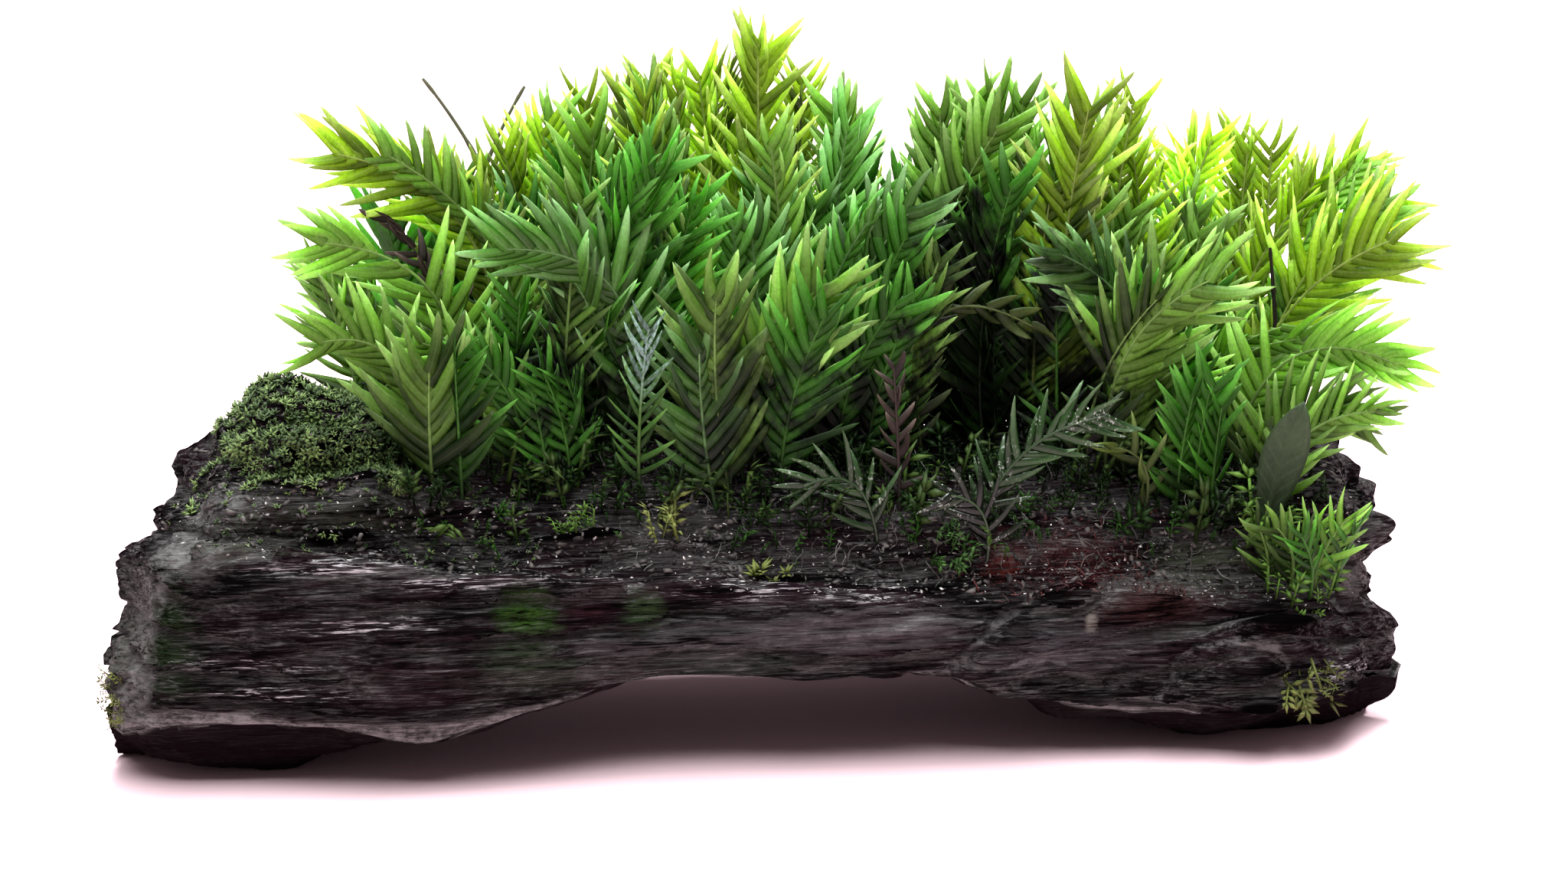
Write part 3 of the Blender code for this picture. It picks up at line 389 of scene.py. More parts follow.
# Small growths round a place: name, pattern, kind, place, reach; then the same six settings
SPOTS = (
    ("left_sprout", "sprigs", "bright", (-10.0, -8.0, 12.8), 1.1, (0.45, 3.0, 0.9, 1.9, 0.6, 0.8)),
    ("middle_sprout", "sprigs", "sprout", (-5.2, -8.0, 12.8), 1.2, (0.45, 3.0, 1.2, 2.6, 0.9, 0.75)),
    ("star_sprout", "tufts", "sprout", (0.1, -9.2, 10.3), 0.8, (0.4, 3.0, 0.8, 1.2, 0.2, 0.8)),
    ("right_sprout", "sprigs", "blue", (9.9, -8.4, 10.9), 1.2, (0.45, 3.0, 0.8, 1.8, 0.6, 0.7)),
    ("yellow_tuft", "sprigs", "sprout", (28.2, -11.5, 4.6), 1.5, (0.4, 3.5, 0.7, 2.4, -0.9, 0.9)),
    ("pale_tuft", "sprigs", "sprout", (-34.2, -8.0, 4.4), 1.5, (0.3, 6.0, 0.5, 1.1, 0.2, 0.9)),
    ("right_rim_moss", "sprigs", "bright", (28.8, -8.8, 9.6), 2.6, (0.5, 2.2, 0.9, 2.2, 0.7, 0.7)),
    ("back_gap_moss", "sprigs", "deep", (15.7, 7.0, 13.9), 2.2, (0.45, 2.5, 1.6, 3.0, 1.2, 0.1)),
    ("leaf_foot_moss", "sprigs", "bright", (27.2, -7.6, 11.6), 1.9, (0.45, 3.0, 1.4, 3.2, 1.4, 0.6)),
)

# Raised folds on the front of the log: height, half width, places (x, z) they run through
FOLDS = (
    ("left_band", 0.4, 1.1, ((-27, 15.4), (-29.4, 13.6), (-31.4, 11.6), (-32.8, 8.8), (-33, 5))),
    ("rising_fold", 0.45, 0.4, ((7, 5), (9, 5.3), (10.8, 7), (11.9, 8.1), (13.6, 8.9))),
    ("low_lobe", 0.35, 0.3, ((9.5, 4.6), (11, 4), (12.6, 4.3), (13.6, 4.9), (15.3, 4.9), (17.2, 4.2))),
    ("inner_lobe", 0.25, 0.25, ((11.4, 5.3), (13.1, 5.8), (15.4, 5.5))),
    ("arched_fold", 0.36, 0.34,
     ((18, 3.1), (20.2, 3.5), (21.1, 4.5), (21.3, 5.6), (22.4, 6.3), (24.3, 6.4), (26.2, 6), (27.2, 5.2),
      (27, 4))),
    ("end_fold", 0.5, 0.35, ((30, 10.4), (30.4, 9), (31.4, 7.8), (32.8, 7.3))),
)

# Hollows on the front of the log, sunk in and darkened with painted shade: place (x, z), reach along each,
# depth
HOLLOWS = (
    ("slit", (26.9, 7.2), (2.3, 0.5), 1.3),
    ("arch_shade", (25, 4.9), (2, 0.7), 0.45),
    ("crevice", (25.3, 3.3), (1.5, 0.32), 0.9),
    ("left_recess", (-21.6, 12.8), (3, 0.35), 0.9),
    ("middle_recess", (-9.8, 12.2), (3.2, 0.35), 1),
    ("lip_gap", (-22.6, 16.9), (3.8, 0.45), 1.1),
    ("left_notch", (-32.4, 13.6), (1.5, 0.8), 0.9),
)

# Stains on the wood: middle, reach along each axis, colour, strength
STAINS = (
    ("green_left", (-31, -11.5, 8.4), (1.8, 4, 4.2), (0.014, 0.028, 0.01), 0.8),
    ("green_low", (-13, -12.5, 6.2), (4, 3, 1.4), (0.034, 0.048, 0.03), 0.65),
    ("green_sill", (-3.5, -12, 6.3), (6, 3, 1), (0.044, 0.052, 0.042), 0.6),
    ("lilac_middle", (4, -12, 7.8), (8, 3, 1.5), (0.09, 0.079, 0.085), 0.8),
    ("lilac_right", (15.5, -12, 6.2), (5.5, 3, 1.6), (0.074, 0.064, 0.071), 0.65),
    ("grey_middle", (-4.5, -12.2, 7.4), (6.5, 3, 1.3), (0.088, 0.086, 0.087), 0.7),
    ("grey_ledge", (-5, -9.5, 12.4), (7.5, 4, 1.3), (0.09, 0.088, 0.085), 0.6),
    ("dark_left", (-23, -12.5, 8.6), (7, 3, 2.8), (0.007, 0.0045, 0.0055), 0.8),
    ("purple_low", (-17.5, -12.5, 6), (5, 3, 1.2), (0.02, 0.009, 0.012), 0.5),
    ("purple_middle", (-9.7, -12.5, 9.4), (1.9, 3, 1.2), (0.025, 0.009, 0.013), 0.9),
    ("purple_right", (5, -12.5, 10.6), (6.5, 3, 1.4), (0.024, 0.009, 0.016), 0.6),
    ("purple_ledge", (-10, -11.4, 12.1), (3.6, 3, 0.6), (0.024, 0.012, 0.024), 0.9),
    ("lilac_ledge", (-1, -10.5, 11.4), (9, 3.5, 1), (0.13, 0.12, 0.125), 0.45),
    ("algae_left", (-12.9, -12.5, 9.2), (1.9, 3, 1.7), (0.026, 0.068, 0.009), 1),
    ("algae_fringe", (-13.2, -12.5, 7.6), (2.4, 3, 1.8), (0.05, 0.066, 0.042), 0.55),
    ("algae_middle", (-6.8, -12.3, 9.2), (1.3, 3, 1.3), (0.038, 0.066, 0.026), 0.8),
    ("shelf_green", (-21, -10, 13.9), (9, 3.5, 1.5), (0.036, 0.042, 0.026), 0.6),
    ("shelf_film", (-15, -11, 12.8), (5, 3, 0.7), (0.15, 0.16, 0.13), 0.5),
    ("film_left", (-27.5, -10.5, 13.7), (4, 3, 1.4), (0.08, 0.088, 0.064), 0.7),
    ("film_right", (24.8, -9.2, 10), (4.8, 3.6, 1.6), (0.068, 0.086, 0.05), 0.9),
    ("grey_right", (28.6, -9.3, 9.4), (3.2, 3.2, 1.7), (0.12, 0.118, 0.104), 0.7),
    ("grey_end", (32.4, -7, 8.6), (1.9, 4, 1.8), (0.135, 0.116, 0.116), 0.85),
    ("red_core", (12.6, -10.2, 10.9), (1.9, 3.6, 1.5), (0.13, 0.018, 0.013), 0.8),
    ("red_patch", (16.6, -9.8, 10.8), (3.8, 3.6, 2), (0.038, 0.007, 0.009), 0.85),
    ("red_low", (20.5, -11.5, 8.5), (4.4, 3, 1.5), (0.046, 0.02, 0.018), 0.6),
    ("grey_shoulder", (-29.4, -9.5, 13.4), (2.4, 5, 2.4), (0.12, 0.124, 0.112), 0.75),
    ("grey_left", (-33.2, -9, 7.6), (1.9, 5, 5), (0.12, 0.124, 0.112), 0.8),
    # Painted highlight in the crevice, not a stain
    ("crevice_painted_glint", (25.9, -11.6, 3), (0.7, 3, 0.3), (0.42, 0.4, 0.41), 0.8),
    ("pale_fold", (16.7, -12.2, 7.7), (0.4, 3, 0.8), (0.26, 0.25, 0.21), 0.7),
    ("grey_ridge", (30.5, -8, 8.6), (1.8, 3, 0.6), (0.2, 0.18, 0.17), 0.6),
)

# Places where painted highlights stand for thin wet streaks of the grain shining: middle, reach along each
# axis
PAINTED_GLINTS = (
    ((-28, -12.2, 7), (5, 3, 0.45)),
    ((-26, -12.2, 5.5), (4.5, 3, 0.45)),
    ((-21.4, -12.6, 9.1), (5, 3, 0.5)),
    ((-23, -11.5, 12), (5.5, 3, 0.5)),
    ((-16, -12, 11.1), (4, 3, 0.5)),
    ((-9, -12, 11.2), (5, 3, 0.6)),
    ((-3, -10.5, 11.9), (9, 3.5, 0.5)),
    ((-1, -12, 10.3), (5, 3, 0.9)),
    ((6.5, -11.6, 9.9), (5.5, 3, 1.1)),
    ((15.8, -11.5, 10), (2.4, 3, 0.5)),
    ((30.5, -11, 4.4), (2.6, 3, 0.7)),
)

# Colours of each kind's leaves: dark foot, blade, tip, light shining through; share shining
# through, roughness, wet coat
LEAF_LOOKS = {
    "bright": ((0.028, 0.09, 0.006), (0.17, 0.375, 0.042), (0.43, 0.68, 0.21), (0.41, 0.75, 0.07),
               0.48, 0.5, 0.0),
    "deep": ((0.004, 0.032, 0.001), (0.036, 0.165, 0.008), (0.14, 0.4, 0.06), (0.17, 0.54, 0.015),
             0.48, 0.5, 0.0),
    "blue": ((0.012, 0.062, 0.006), (0.088, 0.256, 0.034), (0.32, 0.6, 0.24), (0.205, 0.56, 0.04),
             0.42, 0.42, 0.0),
    # The yellow kind's near-white tip is partly its own colour, partly painted glow of the backlight through
    # its tips
    "yellow": ((0.045, 0.155, 0.002), (0.285, 0.505, 0.022), (0.8, 0.93, 0.32), (0.68, 0.94, 0.075),
               0.6, 0.5, 0.0),
    "sprout": ((0.05, 0.08, 0.015), (0.2, 0.26, 0.055), (0.45, 0.52, 0.18), (0.3, 0.38, 0.06),
               0.35, 0.55, 0.0),
    "stalk": ((0.06, 0.07, 0.04), (0.17, 0.19, 0.11), (0.3, 0.33, 0.22), (0.22, 0.24, 0.12),
              0.2, 0.6, 0.0),
    "pale": ((0.02, 0.075, 0.006), (0.06, 0.2, 0.02), (0.2, 0.4, 0.09), (0.2, 0.46, 0.05),
             0.4, 0.5, 0.0),
    "wet": ((0.004, 0.015, 0.003), (0.018, 0.06, 0.012), (0.075, 0.15, 0.06), (0.05, 0.15, 0.028),
            0.25, 0.35, 0.8),
    "broad": ((0.008, 0.02, 0.006), (0.022, 0.052, 0.016), (0.085, 0.15, 0.065), (0.05, 0.11, 0.03),
              0.25, 0.6, 0.0),
    "olive": ((0.018, 0.034, 0.004), (0.06, 0.105, 0.016), (0.19, 0.27, 0.08), (0.17, 0.27, 0.035),
              0.38, 0.55, 0.0),
    "brown": ((0.006, 0.005, 0.003), (0.02, 0.013, 0.009), (0.07, 0.05, 0.038), (0.05, 0.028, 0.016),
              0.18, 0.65, 0.0),
}

# Where the clump is deepest its leaves get painted shade: middle, reach, light left there
SHADED = (
    ((16, -5.5, 19.6), (3.6, 4, 3.4), 0.08),
    ((15.6, -6.5, 16), (3.2, 3.5, 3), 0.08),
    ((14, -3, 21.5), (3.4, 3, 4), 0.1),
    ((17, -1.5, 23.4), (3, 2.6, 2.6), 0.1),
    ((11.8, 0.5, 26), (3.4, 4, 3.6), 0.1),
    ((12.6, 0, 20), (6.5, 5.5, 8), 0.1),
    ((16.6, -5, 25.4), (3.4, 3, 2.4), 0.45),
    ((-11, -1.5, 18.5), (3.5, 4, 5), 0.1),
    ((-5.6, 1, 27), (2.2, 3, 2.2), 0.1),
    ((0.5, 0, 17.5), (12, 5.5, 5.5), 0.1),
    ((22, 0.5, 16.5), (7, 5.5, 4.5), 0.1),
    ((-16, 0.5, 18), (5, 4.5, 4.5), 0.1),
    ((-0.9, -7, 18.8), (4.2, 4, 4.4), 0.42),
    ((4, -6, 17.2), (3, 4, 3.4), 0.3),
)

# Gaps in the clump that green leaves keep out of: middle, reach along each axis
OPEN_GAPS = (
    ((28.9, -1, 23.2), (2, 3.6, 2.6)),
    ((27.5, -5.8, 24.1), (2, 3.6, 2.6)),
    ((29.7, -3, 25.4), (1.5, 4.5, 2.2)),
    ((31.8, 5, 24.2), (1.6, 4.5, 2.2)),
    ((17.4, -3.5, 19.4), (3.6, 4.6, 2.2)),
    ((-19.3, -3.2, 26.9), (2.1, 3.4, 2.3)),
)

# Shoots between the listed fronds: name, kinds, how many, from and to along the log and in depth,
# lowest and highest reach against the outline above, shortest and longest leaf
THICKETS = (
    ("low_left_shoot", ("bright", "deep", "blue"), 9, (-19, -6.5), (-4, 2.5), 0.35, 0.72, 2.8, 3.6),
    ("low_middle_shoot", ("deep", "bright", "blue"), 9, (-6.5, 10), (-3.5, 2.5), 0.35, 0.72, 2.8, 3.6),
    ("low_right_shoot", ("bright", "deep"), 8, (14, 30), (-3.5, 2.5), 0.35, 0.7, 2.8, 3.6),
    ("dark_gap_shoot", ("deep",), 7, (9, 22), (1, 5), 0.35, 0.62, 3, 3.8),
    ("inner_back_shoot", ("deep", "yellow", "bright"), 26, (-19, 30), (3, 8), 0.6, 0.92, 3.2, 4.2),
    ("outer_back_shoot", ("bright", "deep"), 14, (-19, 30), (7.5, 9.5), 0.3, 0.6, 3, 3.8),
)


def rail_point(rail, fraction):
    """The point of a rail at a fraction of its own length in x, on a smooth curve through its points."""
    x = rail[0][0] + (rail[-1][0] - rail[0][0]) * fraction
    last = len(rail) - 2
    span = next((i for i in range(last) if x <= rail[i + 1][0]), last)
    start, end = Vector(rail[span]), Vector(rail[span + 1])
    before = Vector(rail[max(span - 1, 0)])
    after = Vector(rail[min(span + 2, last + 1)])
    width = end.x - start.x
    leave = (end - before) * (width / (end.x - before.x))
    arrive = (after - start) * (width / (after.x - start.x))
    s = (x - start.x) / width
    point = start * (2 * s**3 - 3 * s**2 + 1) + leave * (s**3 - 2 * s**2 + s)
    point += end * (3 * s**2 - 2 * s**3) + arrive * (s**3 - s**2)
    point.x = x
    return point


def section_point(corners, turn):
    """A point of the closed curve through a section's corners; turn runs from 0 to 1 once round."""
    place = turn * len(corners)
    s = place - int(place)
    p0, p1, p2, p3 = (corners[(int(place) + k) % len(corners)] for k in (-1, 0, 1, 2))
    return 0.5 * (2 * p1 + (p2 - p0) * s + (2 * p0 - 5 * p1 + 4 * p2 - p3) * s**2
                  + (3 * p1 - p0 - 3 * p2 + p3) * s**3)


def log_grid(turns):
    """Smooth points of the log's skin, station by station, with the stations closer at both ends."""
    grid = []
    for i in range(WOOD_STATIONS):
        share = END_CROWDING + (1.0 - 2.0 * END_CROWDING) * i / (WOOD_STATIONS - 1)
        fraction = 0.5 - 0.5 * math.cos(math.pi * share) / math.cos(math.pi * END_CROWDING)
        corners = [rail_point(rail, min(max(fraction, 0.0), 1.0)) for _, rail in RAILS]
        grid.append([section_point(corners, turn) for turn in turns])
    return grid


def rough(point, stretch, offset=(0.0, 0.0, 0.0)):
    """Noise at a point, drawn out by a different length along each axis."""
    return noise.noise(Vector([value / size for value, size in zip(point, stretch)]) + Vector(offset))


def end_rough(point, deep, high, layer):
    """Noise over a broken end of the log."""
    return noise.noise(Vector((point.y / deep, point.z / high, layer)))


def bark_height(point):
    """How far the wood stands proud at a point: broad lumps, furrows drawn out along the grain, knobs."""
    lumps = rough(point, (11.0, 6.0, 5.0), (7.1, 2.3, 4.9))
    splinters = rough(point, (5.0, 2.2, 1.8), (3.3, 8.1, 1.7))
    furrows = 0.5 - 1.6 * abs(rough(point, (13.0, 2.9, 2.3))) + 0.6 * splinters
    knobs = 0.0
    for _, place, spread, top in KNOBS:
        knobs += top * math.exp(-sum(((point[k] - place[k]) / spread[k]) ** 2 for k in range(3)))
    return 2.0 * BARK_LUMPS * lumps + BARK_GRAIN * furrows + knobs


def fold_height(point):
    """Height of the folds and hollows at a point of the front, and how much it is fold (+) or hollow (-)."""
    if point.y > FOLDS_END:
        return 0.0, 0.0
    spot = Vector((point.x, point.z))
    wander = 0.35 * noise.noise(point / 1.7)
    height = 0.0
    share = 0.0
    for _, rise, half, line in FOLDS:
        along_log = [place[0] for place in line]
        if not min(along_log) - 3.0 * half < spot.x < max(along_log) + 3.0 * half:
            continue
        nearest = 3.0 * half
        for a, b in zip(line, line[1:]):
            start, step = Vector(a), Vector(b) - Vector(a)
            along = min(max((spot - start).dot(step) / step.length_squared, 0.0), 1.0)
            nearest = min(nearest, (spot - start - step * along).length)
        ridge = math.exp(-((nearest + wander * half) / half) ** 2)
        height += rise * ridge
        share = max(share, ridge)
    for _, place, reach, depth in HOLLOWS:
        away = math.hypot((spot.x - place[0]) / reach[0], (spot.y - place[1]) / reach[1])
        if away < 2.5:
            hollow = math.exp(-((away + wander) ** 4))
            height -= depth * hollow
            # This share paints the hollow dark in the wood's colour: painted shade
            share -= min(depth, 1.2) * hollow
    return height, share


def fibre_height(point, band):
    """Fine relief of the wood: stacked ledges, fibres and threads, all drawn out along the grain."""
    wander = rough((point.x, point.y, 2.7), (16.0, 9.0, 1.0)) + 0.4 * noise.noise(point / 3.1)
    layer = (point.z + 1.7 * wander) / LEDGE_PITCH
    layer -= math.floor(layer)
    depth = 1.0 + 1.2 * rough(point, (8.0, 5.0, 3.0))
    ledge = LEDGE_STEP * max(depth, 0.2) * (layer**2.5 - 0.3)
    fibre = FIBRE_HEIGHT * (0.6 - 1.5 * abs(rough(point, (6.5, 1.1, 0.85), (1.3, 5.2, 0.4))))
    thread = THREAD_HEIGHT * rough(point, (2.6, 0.45, 0.38), (9.1, 0.6, 3.3))
    pit = PIT_HEIGHT * noise.noise(point / 0.9 + Vector((4.0, 4.0, 4.0)))
    rim = RIM_HEIGHT * math.exp(-(min(band, len(RAILS) - band) / RIM_SPREAD) ** 2)
    return ledge + fibre + thread + pit + rim


def tear_end(moved, point, rise, steps_in, right):
    """Move a point near an end of the log further: round lumps at the right one, jags at the left one."""
    fade = 1.0 - steps_in / TORN_STATIONS
    tear = end_rough(point, 2.4, 1.7, 3.0)
    if right:
        tear = ROUND_LUMP * (abs(end_rough(point, 5.0, 3.1, 42.0)) - ROUND_LUMP_MIDDLE)
        moved -= rise * 0.7 * fade
    tear += SPLINTER_SHARE * end_rough(point, 0.7, 0.5, 6.0) * (0.4 if right else 1.0)
    moved.x += BROKEN_END_JAGS * tear * fade


def wood_skin():
    """Fine points of the log's skin with all its relief; each point's band, relief and fold."""
    bands = [rail + k / count for rail, count in enumerate(RING_POINTS) for k in range(count)]
    grid = log_grid([band / len(RAILS) for band in bands])
    last = WOOD_STATIONS - 1
    points = []
    reliefs = []
    folds = []
    for i in range(WOOD_STATIONS):
        steps_in = min(i, last - i)
        for k in range(WOOD_RING):
            point = grid[i][k]
            along = grid[min(i + 1, last)][k] - grid[max(i - 1, 0)][k]
            around = grid[i][(k + 1) % WOOD_RING] - grid[i][k - 1]
            outward = around.cross(along).normalized()
            relief = fibre_height(point, bands[k])
            height, fold = fold_height(point)
            moved = point + outward * (bark_height(point) + relief + height)
            if steps_in < TORN_STATIONS:
                tear_end(moved, point, outward * relief, steps_in, i > steps_in)
            points.append(moved)
            reliefs.append(relief)
            folds.append(fold)
    return points, bands * WOOD_STATIONS, reliefs, folds


def tube_faces(rings, count, first=0):
    """Faces of a skin made of rings with this many points each."""
    faces = []
    for ring in range(rings - 1):
        for k in range(count):
            a, b = first + ring * count + k, first + ring * count + (k + 1) % count
            faces.append((a, b, b + count, a + count))
    return faces


def sunken_end(points, faces, bands, start, inward):
    """Close one end of the log with rough sunken rings of broken wood."""
    way = -1 if inward > 0.0 else 1
    rim = points[start:start + WOOD_RING]
    middle = sum(rim, Vector()) / WOOD_RING
    outer = start
    for share in END_RINGS:
        first = len(points)
        for point in rim:
            sunk = point.lerp(middle, share)
            torn = end_rough(sunk, 1.6, 1.6, 9.0) + 0.5 * end_rough(sunk, 0.5, 0.6, 4.0)
            sunk.x += inward * BROKEN_END_DEPTH * (share + END_ROUGHNESS * torn)
            points.append(sunk)
        bands += bands[start:start + WOOD_RING]
        for k in range(WOOD_RING):
            j = (k + 1) % WOOD_RING
            faces.append((outer + k, outer + j, first + j, first + k)[::way])
        outer = first
    points.append(middle + Vector((inward * BROKEN_END_DEPTH, 0.0, 0.0)))
    bands.append(SHELF_BAND)
    for k in range(WOOD_RING):
        faces.append((outer + k, outer + (k + 1) % WOOD_RING, len(points) - 1)[::way])


def wood_shape():
    """Points, faces, bands, reliefs and folds of the dressed log, flat where its feet meet the ground."""
    points, bands, reliefs, folds = wood_skin()
    faces = tube_faces(WOOD_STATIONS, WOOD_RING)
    sunken_end(points, faces, bands, 0, 1.0)
    sunken_end(points, faces, bands, (WOOD_STATIONS - 1) * WOOD_RING, -1.0)
    for point in points:
        point.z = max(point.z, 0.0)
        point.y = max(point.y, 0.35 * point.y + 0.65 * FRONT_BULGE)
    rest = [0.0] * (len(points) - len(reliefs))
    return points, outward_faces(points, faces), bands, reliefs + rest, folds + rest


def plain_mesh(name, points, faces, attributes=None):
    """A mesh from points in millimetres, with numbers stored on its points."""
    mesh = bpy.data.meshes.new(name)
    mesh.from_pydata(points, [], faces)
    mesh.update()
    for key, values in (attributes or {}).items():
        mesh.attributes.new(key, "FLOAT", "POINT").data.foreach_set("value", values)
    return mesh


def outward_faces(points, faces):
    """The same faces, turned to point outwards where the closed body is inside out."""
    volume = 0.0
    for face in faces:
        a = Vector(points[face[0]])
        for b, c in zip(face[1:], face[2:]):
            volume += a.dot(Vector(points[b]).cross(Vector(points[c])))
    return faces if volume > 0 else [face[::-1] for face in faces]


def added(name, data):
    """A new object in the scene."""
    thing = bpy.data.objects.new(name, data)
    bpy.context.scene.collection.objects.link(thing)
    return thing


def hang_on(thing, stands_for=()):
    """Move a piece's mesh from the tables' millimetres to its place in metres, and tie it to the body."""
    thing.data.transform(Matrix.Scale(MM, 4) @ Matrix.Translation((-PLAN_MIDDLE[0], -PLAN_MIDDLE[1], 0.0)))
    thing.data.update()
    thing.data.name = thing.name
    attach(thing, "root")
    if stands_for:
        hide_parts(*stands_for)


def smooth_piece(mesh, material, stands_for):
    """A piece from a finished mesh, smooth and painted."""
    mesh.materials.append(material)
    mesh.shade_smooth()
    hang_on(added(mesh.name, mesh), stands_for)


class Wire:
    """A value in a tree of nodes; reckoning with it adds the nodes that do so."""

    def __init__(self, wiring, socket):
        self.wiring = wiring
        self.socket = socket

    def step(self, operation, *others):
        """One step of arithmetic."""
        return self.wiring.add("ShaderNodeMath", (self, *others), operation=operation)

    def __add__(self, other):
        return self.step("ADD", other)

    def __sub__(self, other):
        return self.step("SUBTRACT", other)

    def __mul__(self, other):
        return self.step("MULTIPLY", other)

    def __truediv__(self, other):
        return self.step("DIVIDE", other)

    def left_of(self, whole):
        """What is left of a number when this is taken away."""
        return self.wiring.add("ShaderNodeMath", (whole, self), operation="SUBTRACT")

    def vector(self, operation, *others):
        """One step of vector arithmetic."""
        return self.wiring.add("ShaderNodeVectorMath", (self, *others), operation=operation)

    def scaled(self, factor):
        """A vector times a number."""
        return self.wiring.add("ShaderNodeVectorMath", {0: self, "Scale": factor}, operation="SCALE")

    def length(self):
        """Length of a vector."""
        return self.wiring.add("ShaderNodeVectorMath", (self,), "Value", operation="LENGTH")

    def twin(self, name):
        """Another output of the same node."""
        return Wire(self.wiring, self.socket.node.outputs[name])

    def ramped(self, start, end, low=0.0, high=1.0):
        """A value that rises smoothly from low to high as this one goes from start to end."""
        return self.wiring.add("ShaderNodeMapRange", (self, start, end, low, high),
                               interpolation_type="SMOOTHSTEP")

    def tints(self, first, second):
        """Two colours mixed by this share."""
        return self.wiring.tinted(self, first, second, "MIX")

    def dims(self, colour):
        """A colour times this value."""
        grey = self.wiring.add("ShaderNodeCombineColor", (self, self, self))
        return self.wiring.tinted(1.0, colour, grey, "MULTIPLY")


class Wiring:
    """Shorthand for adding nodes to one tree and joining them."""

    def __init__(self, tree):
        self.tree = tree

    def add(self, kind, inputs=(), out=0, **settings):
        """A new node with its settings made and its inputs, named or in order, joined or set; its output."""
        node = self.tree.nodes.new(kind)
        for name, value in settings.items():
            setattr(node, name, value)
        for key, value in (inputs if isinstance(inputs, dict) else dict(enumerate(inputs))).items():
            if isinstance(value, Wire):
                self.tree.links.new(value.socket, node.inputs[key])
            elif node.inputs[key].type == "RGBA":
                node.inputs[key].default_value = (*value, 1.0)
            else:
                node.inputs[key].default_value = value
        return Wire(self, node.outputs[out]) if len(node.outputs) else None

    def between(self, low, high, share):
        """The value that lies at a share of the way from low to high."""
        return self.add("ShaderNodeMix", {0: share, 2: low, 3: high}, data_type="FLOAT", clamp_factor=False)

    def tinted(self, share, first, second, blend):
        """Two colours mixed."""
        return self.add("ShaderNodeMix", {0: share, 6: first, 7: second}, 2,
                        data_type="RGBA", blend_type=blend)

    def attribute(self, name):
        """A number stored on the mesh."""
        return self.add("ShaderNodeAttribute", (), "Fac", attribute_name=name)

    def stored(self, geometry, name, value):
        """The geometry with a number stored on its points."""
        return self.add("GeometryNodeStoreNamedAttribute", {0: geometry, 2: name, 3: value},
                        data_type="FLOAT", domain="POINT")

    def chance(self, low, high, seed, offset=0):
        """A random number for each point."""
        return self.add("FunctionNodeRandomValue", {2: low, 3: high, 8: seed + float(offset)}, 1,
                        data_type="FLOAT")

    def bump(self, height, strength, distance):
        """A finely uneven surface."""
        return self.add("ShaderNodeBump", {"Height": height, "Strength": strength, "Distance": distance * MM})

    def surface(self, colour, roughness, gloss, **more):
        """The common shader with these settings."""
        inputs = {"Base Color": colour, "Roughness": roughness, "Specular IOR Level": gloss}
        inputs.update({name.replace("_", " "): value for name, value in more.items()})
        return self.add("ShaderNodeBsdfPrincipled", inputs)


def new_material(name):
    """An empty material; returns it with its wiring and the place in millimetres."""
    material = bpy.data.materials.new(name)
    material.use_nodes = True
    material.node_tree.nodes.clear()
    wires = Wiring(material.node_tree)
    return material, wires, wires.add("ShaderNodeTexCoord", (), "Object").scaled(1.0 / MM)


def grain(place, stretch, detail=4.0, roughness=0.6, offset=0.0):
    """Noise between 0 and 1 that is drawn out by a different length along each axis, in millimetres."""
    spot = place.vector("MULTIPLY", tuple(1.0 / size for size in stretch))
    spot = spot.vector("ADD", (offset, 1.7 * offset, 0.6 * offset))
    return place.wiring.add("ShaderNodeTexNoise", {
        "Vector": spot, "Scale": 1.0, "Detail": detail, "Roughness": roughness}, "Fac")


def patch(place, middle, reach, edge):
    """A soft patch round a place: 1 in its middle, fading out at its reach with an uneven edge."""
    middle = (middle[0] - PLAN_MIDDLE[0], middle[1] - PLAN_MIDDLE[1], middle[2])
    distance = place.vector("SUBTRACT", middle).vector("DIVIDE", reach).length()
    return (distance + (edge - 0.5) * 2.2).ramped(0.35, 1.1, 1.0, 0.0)


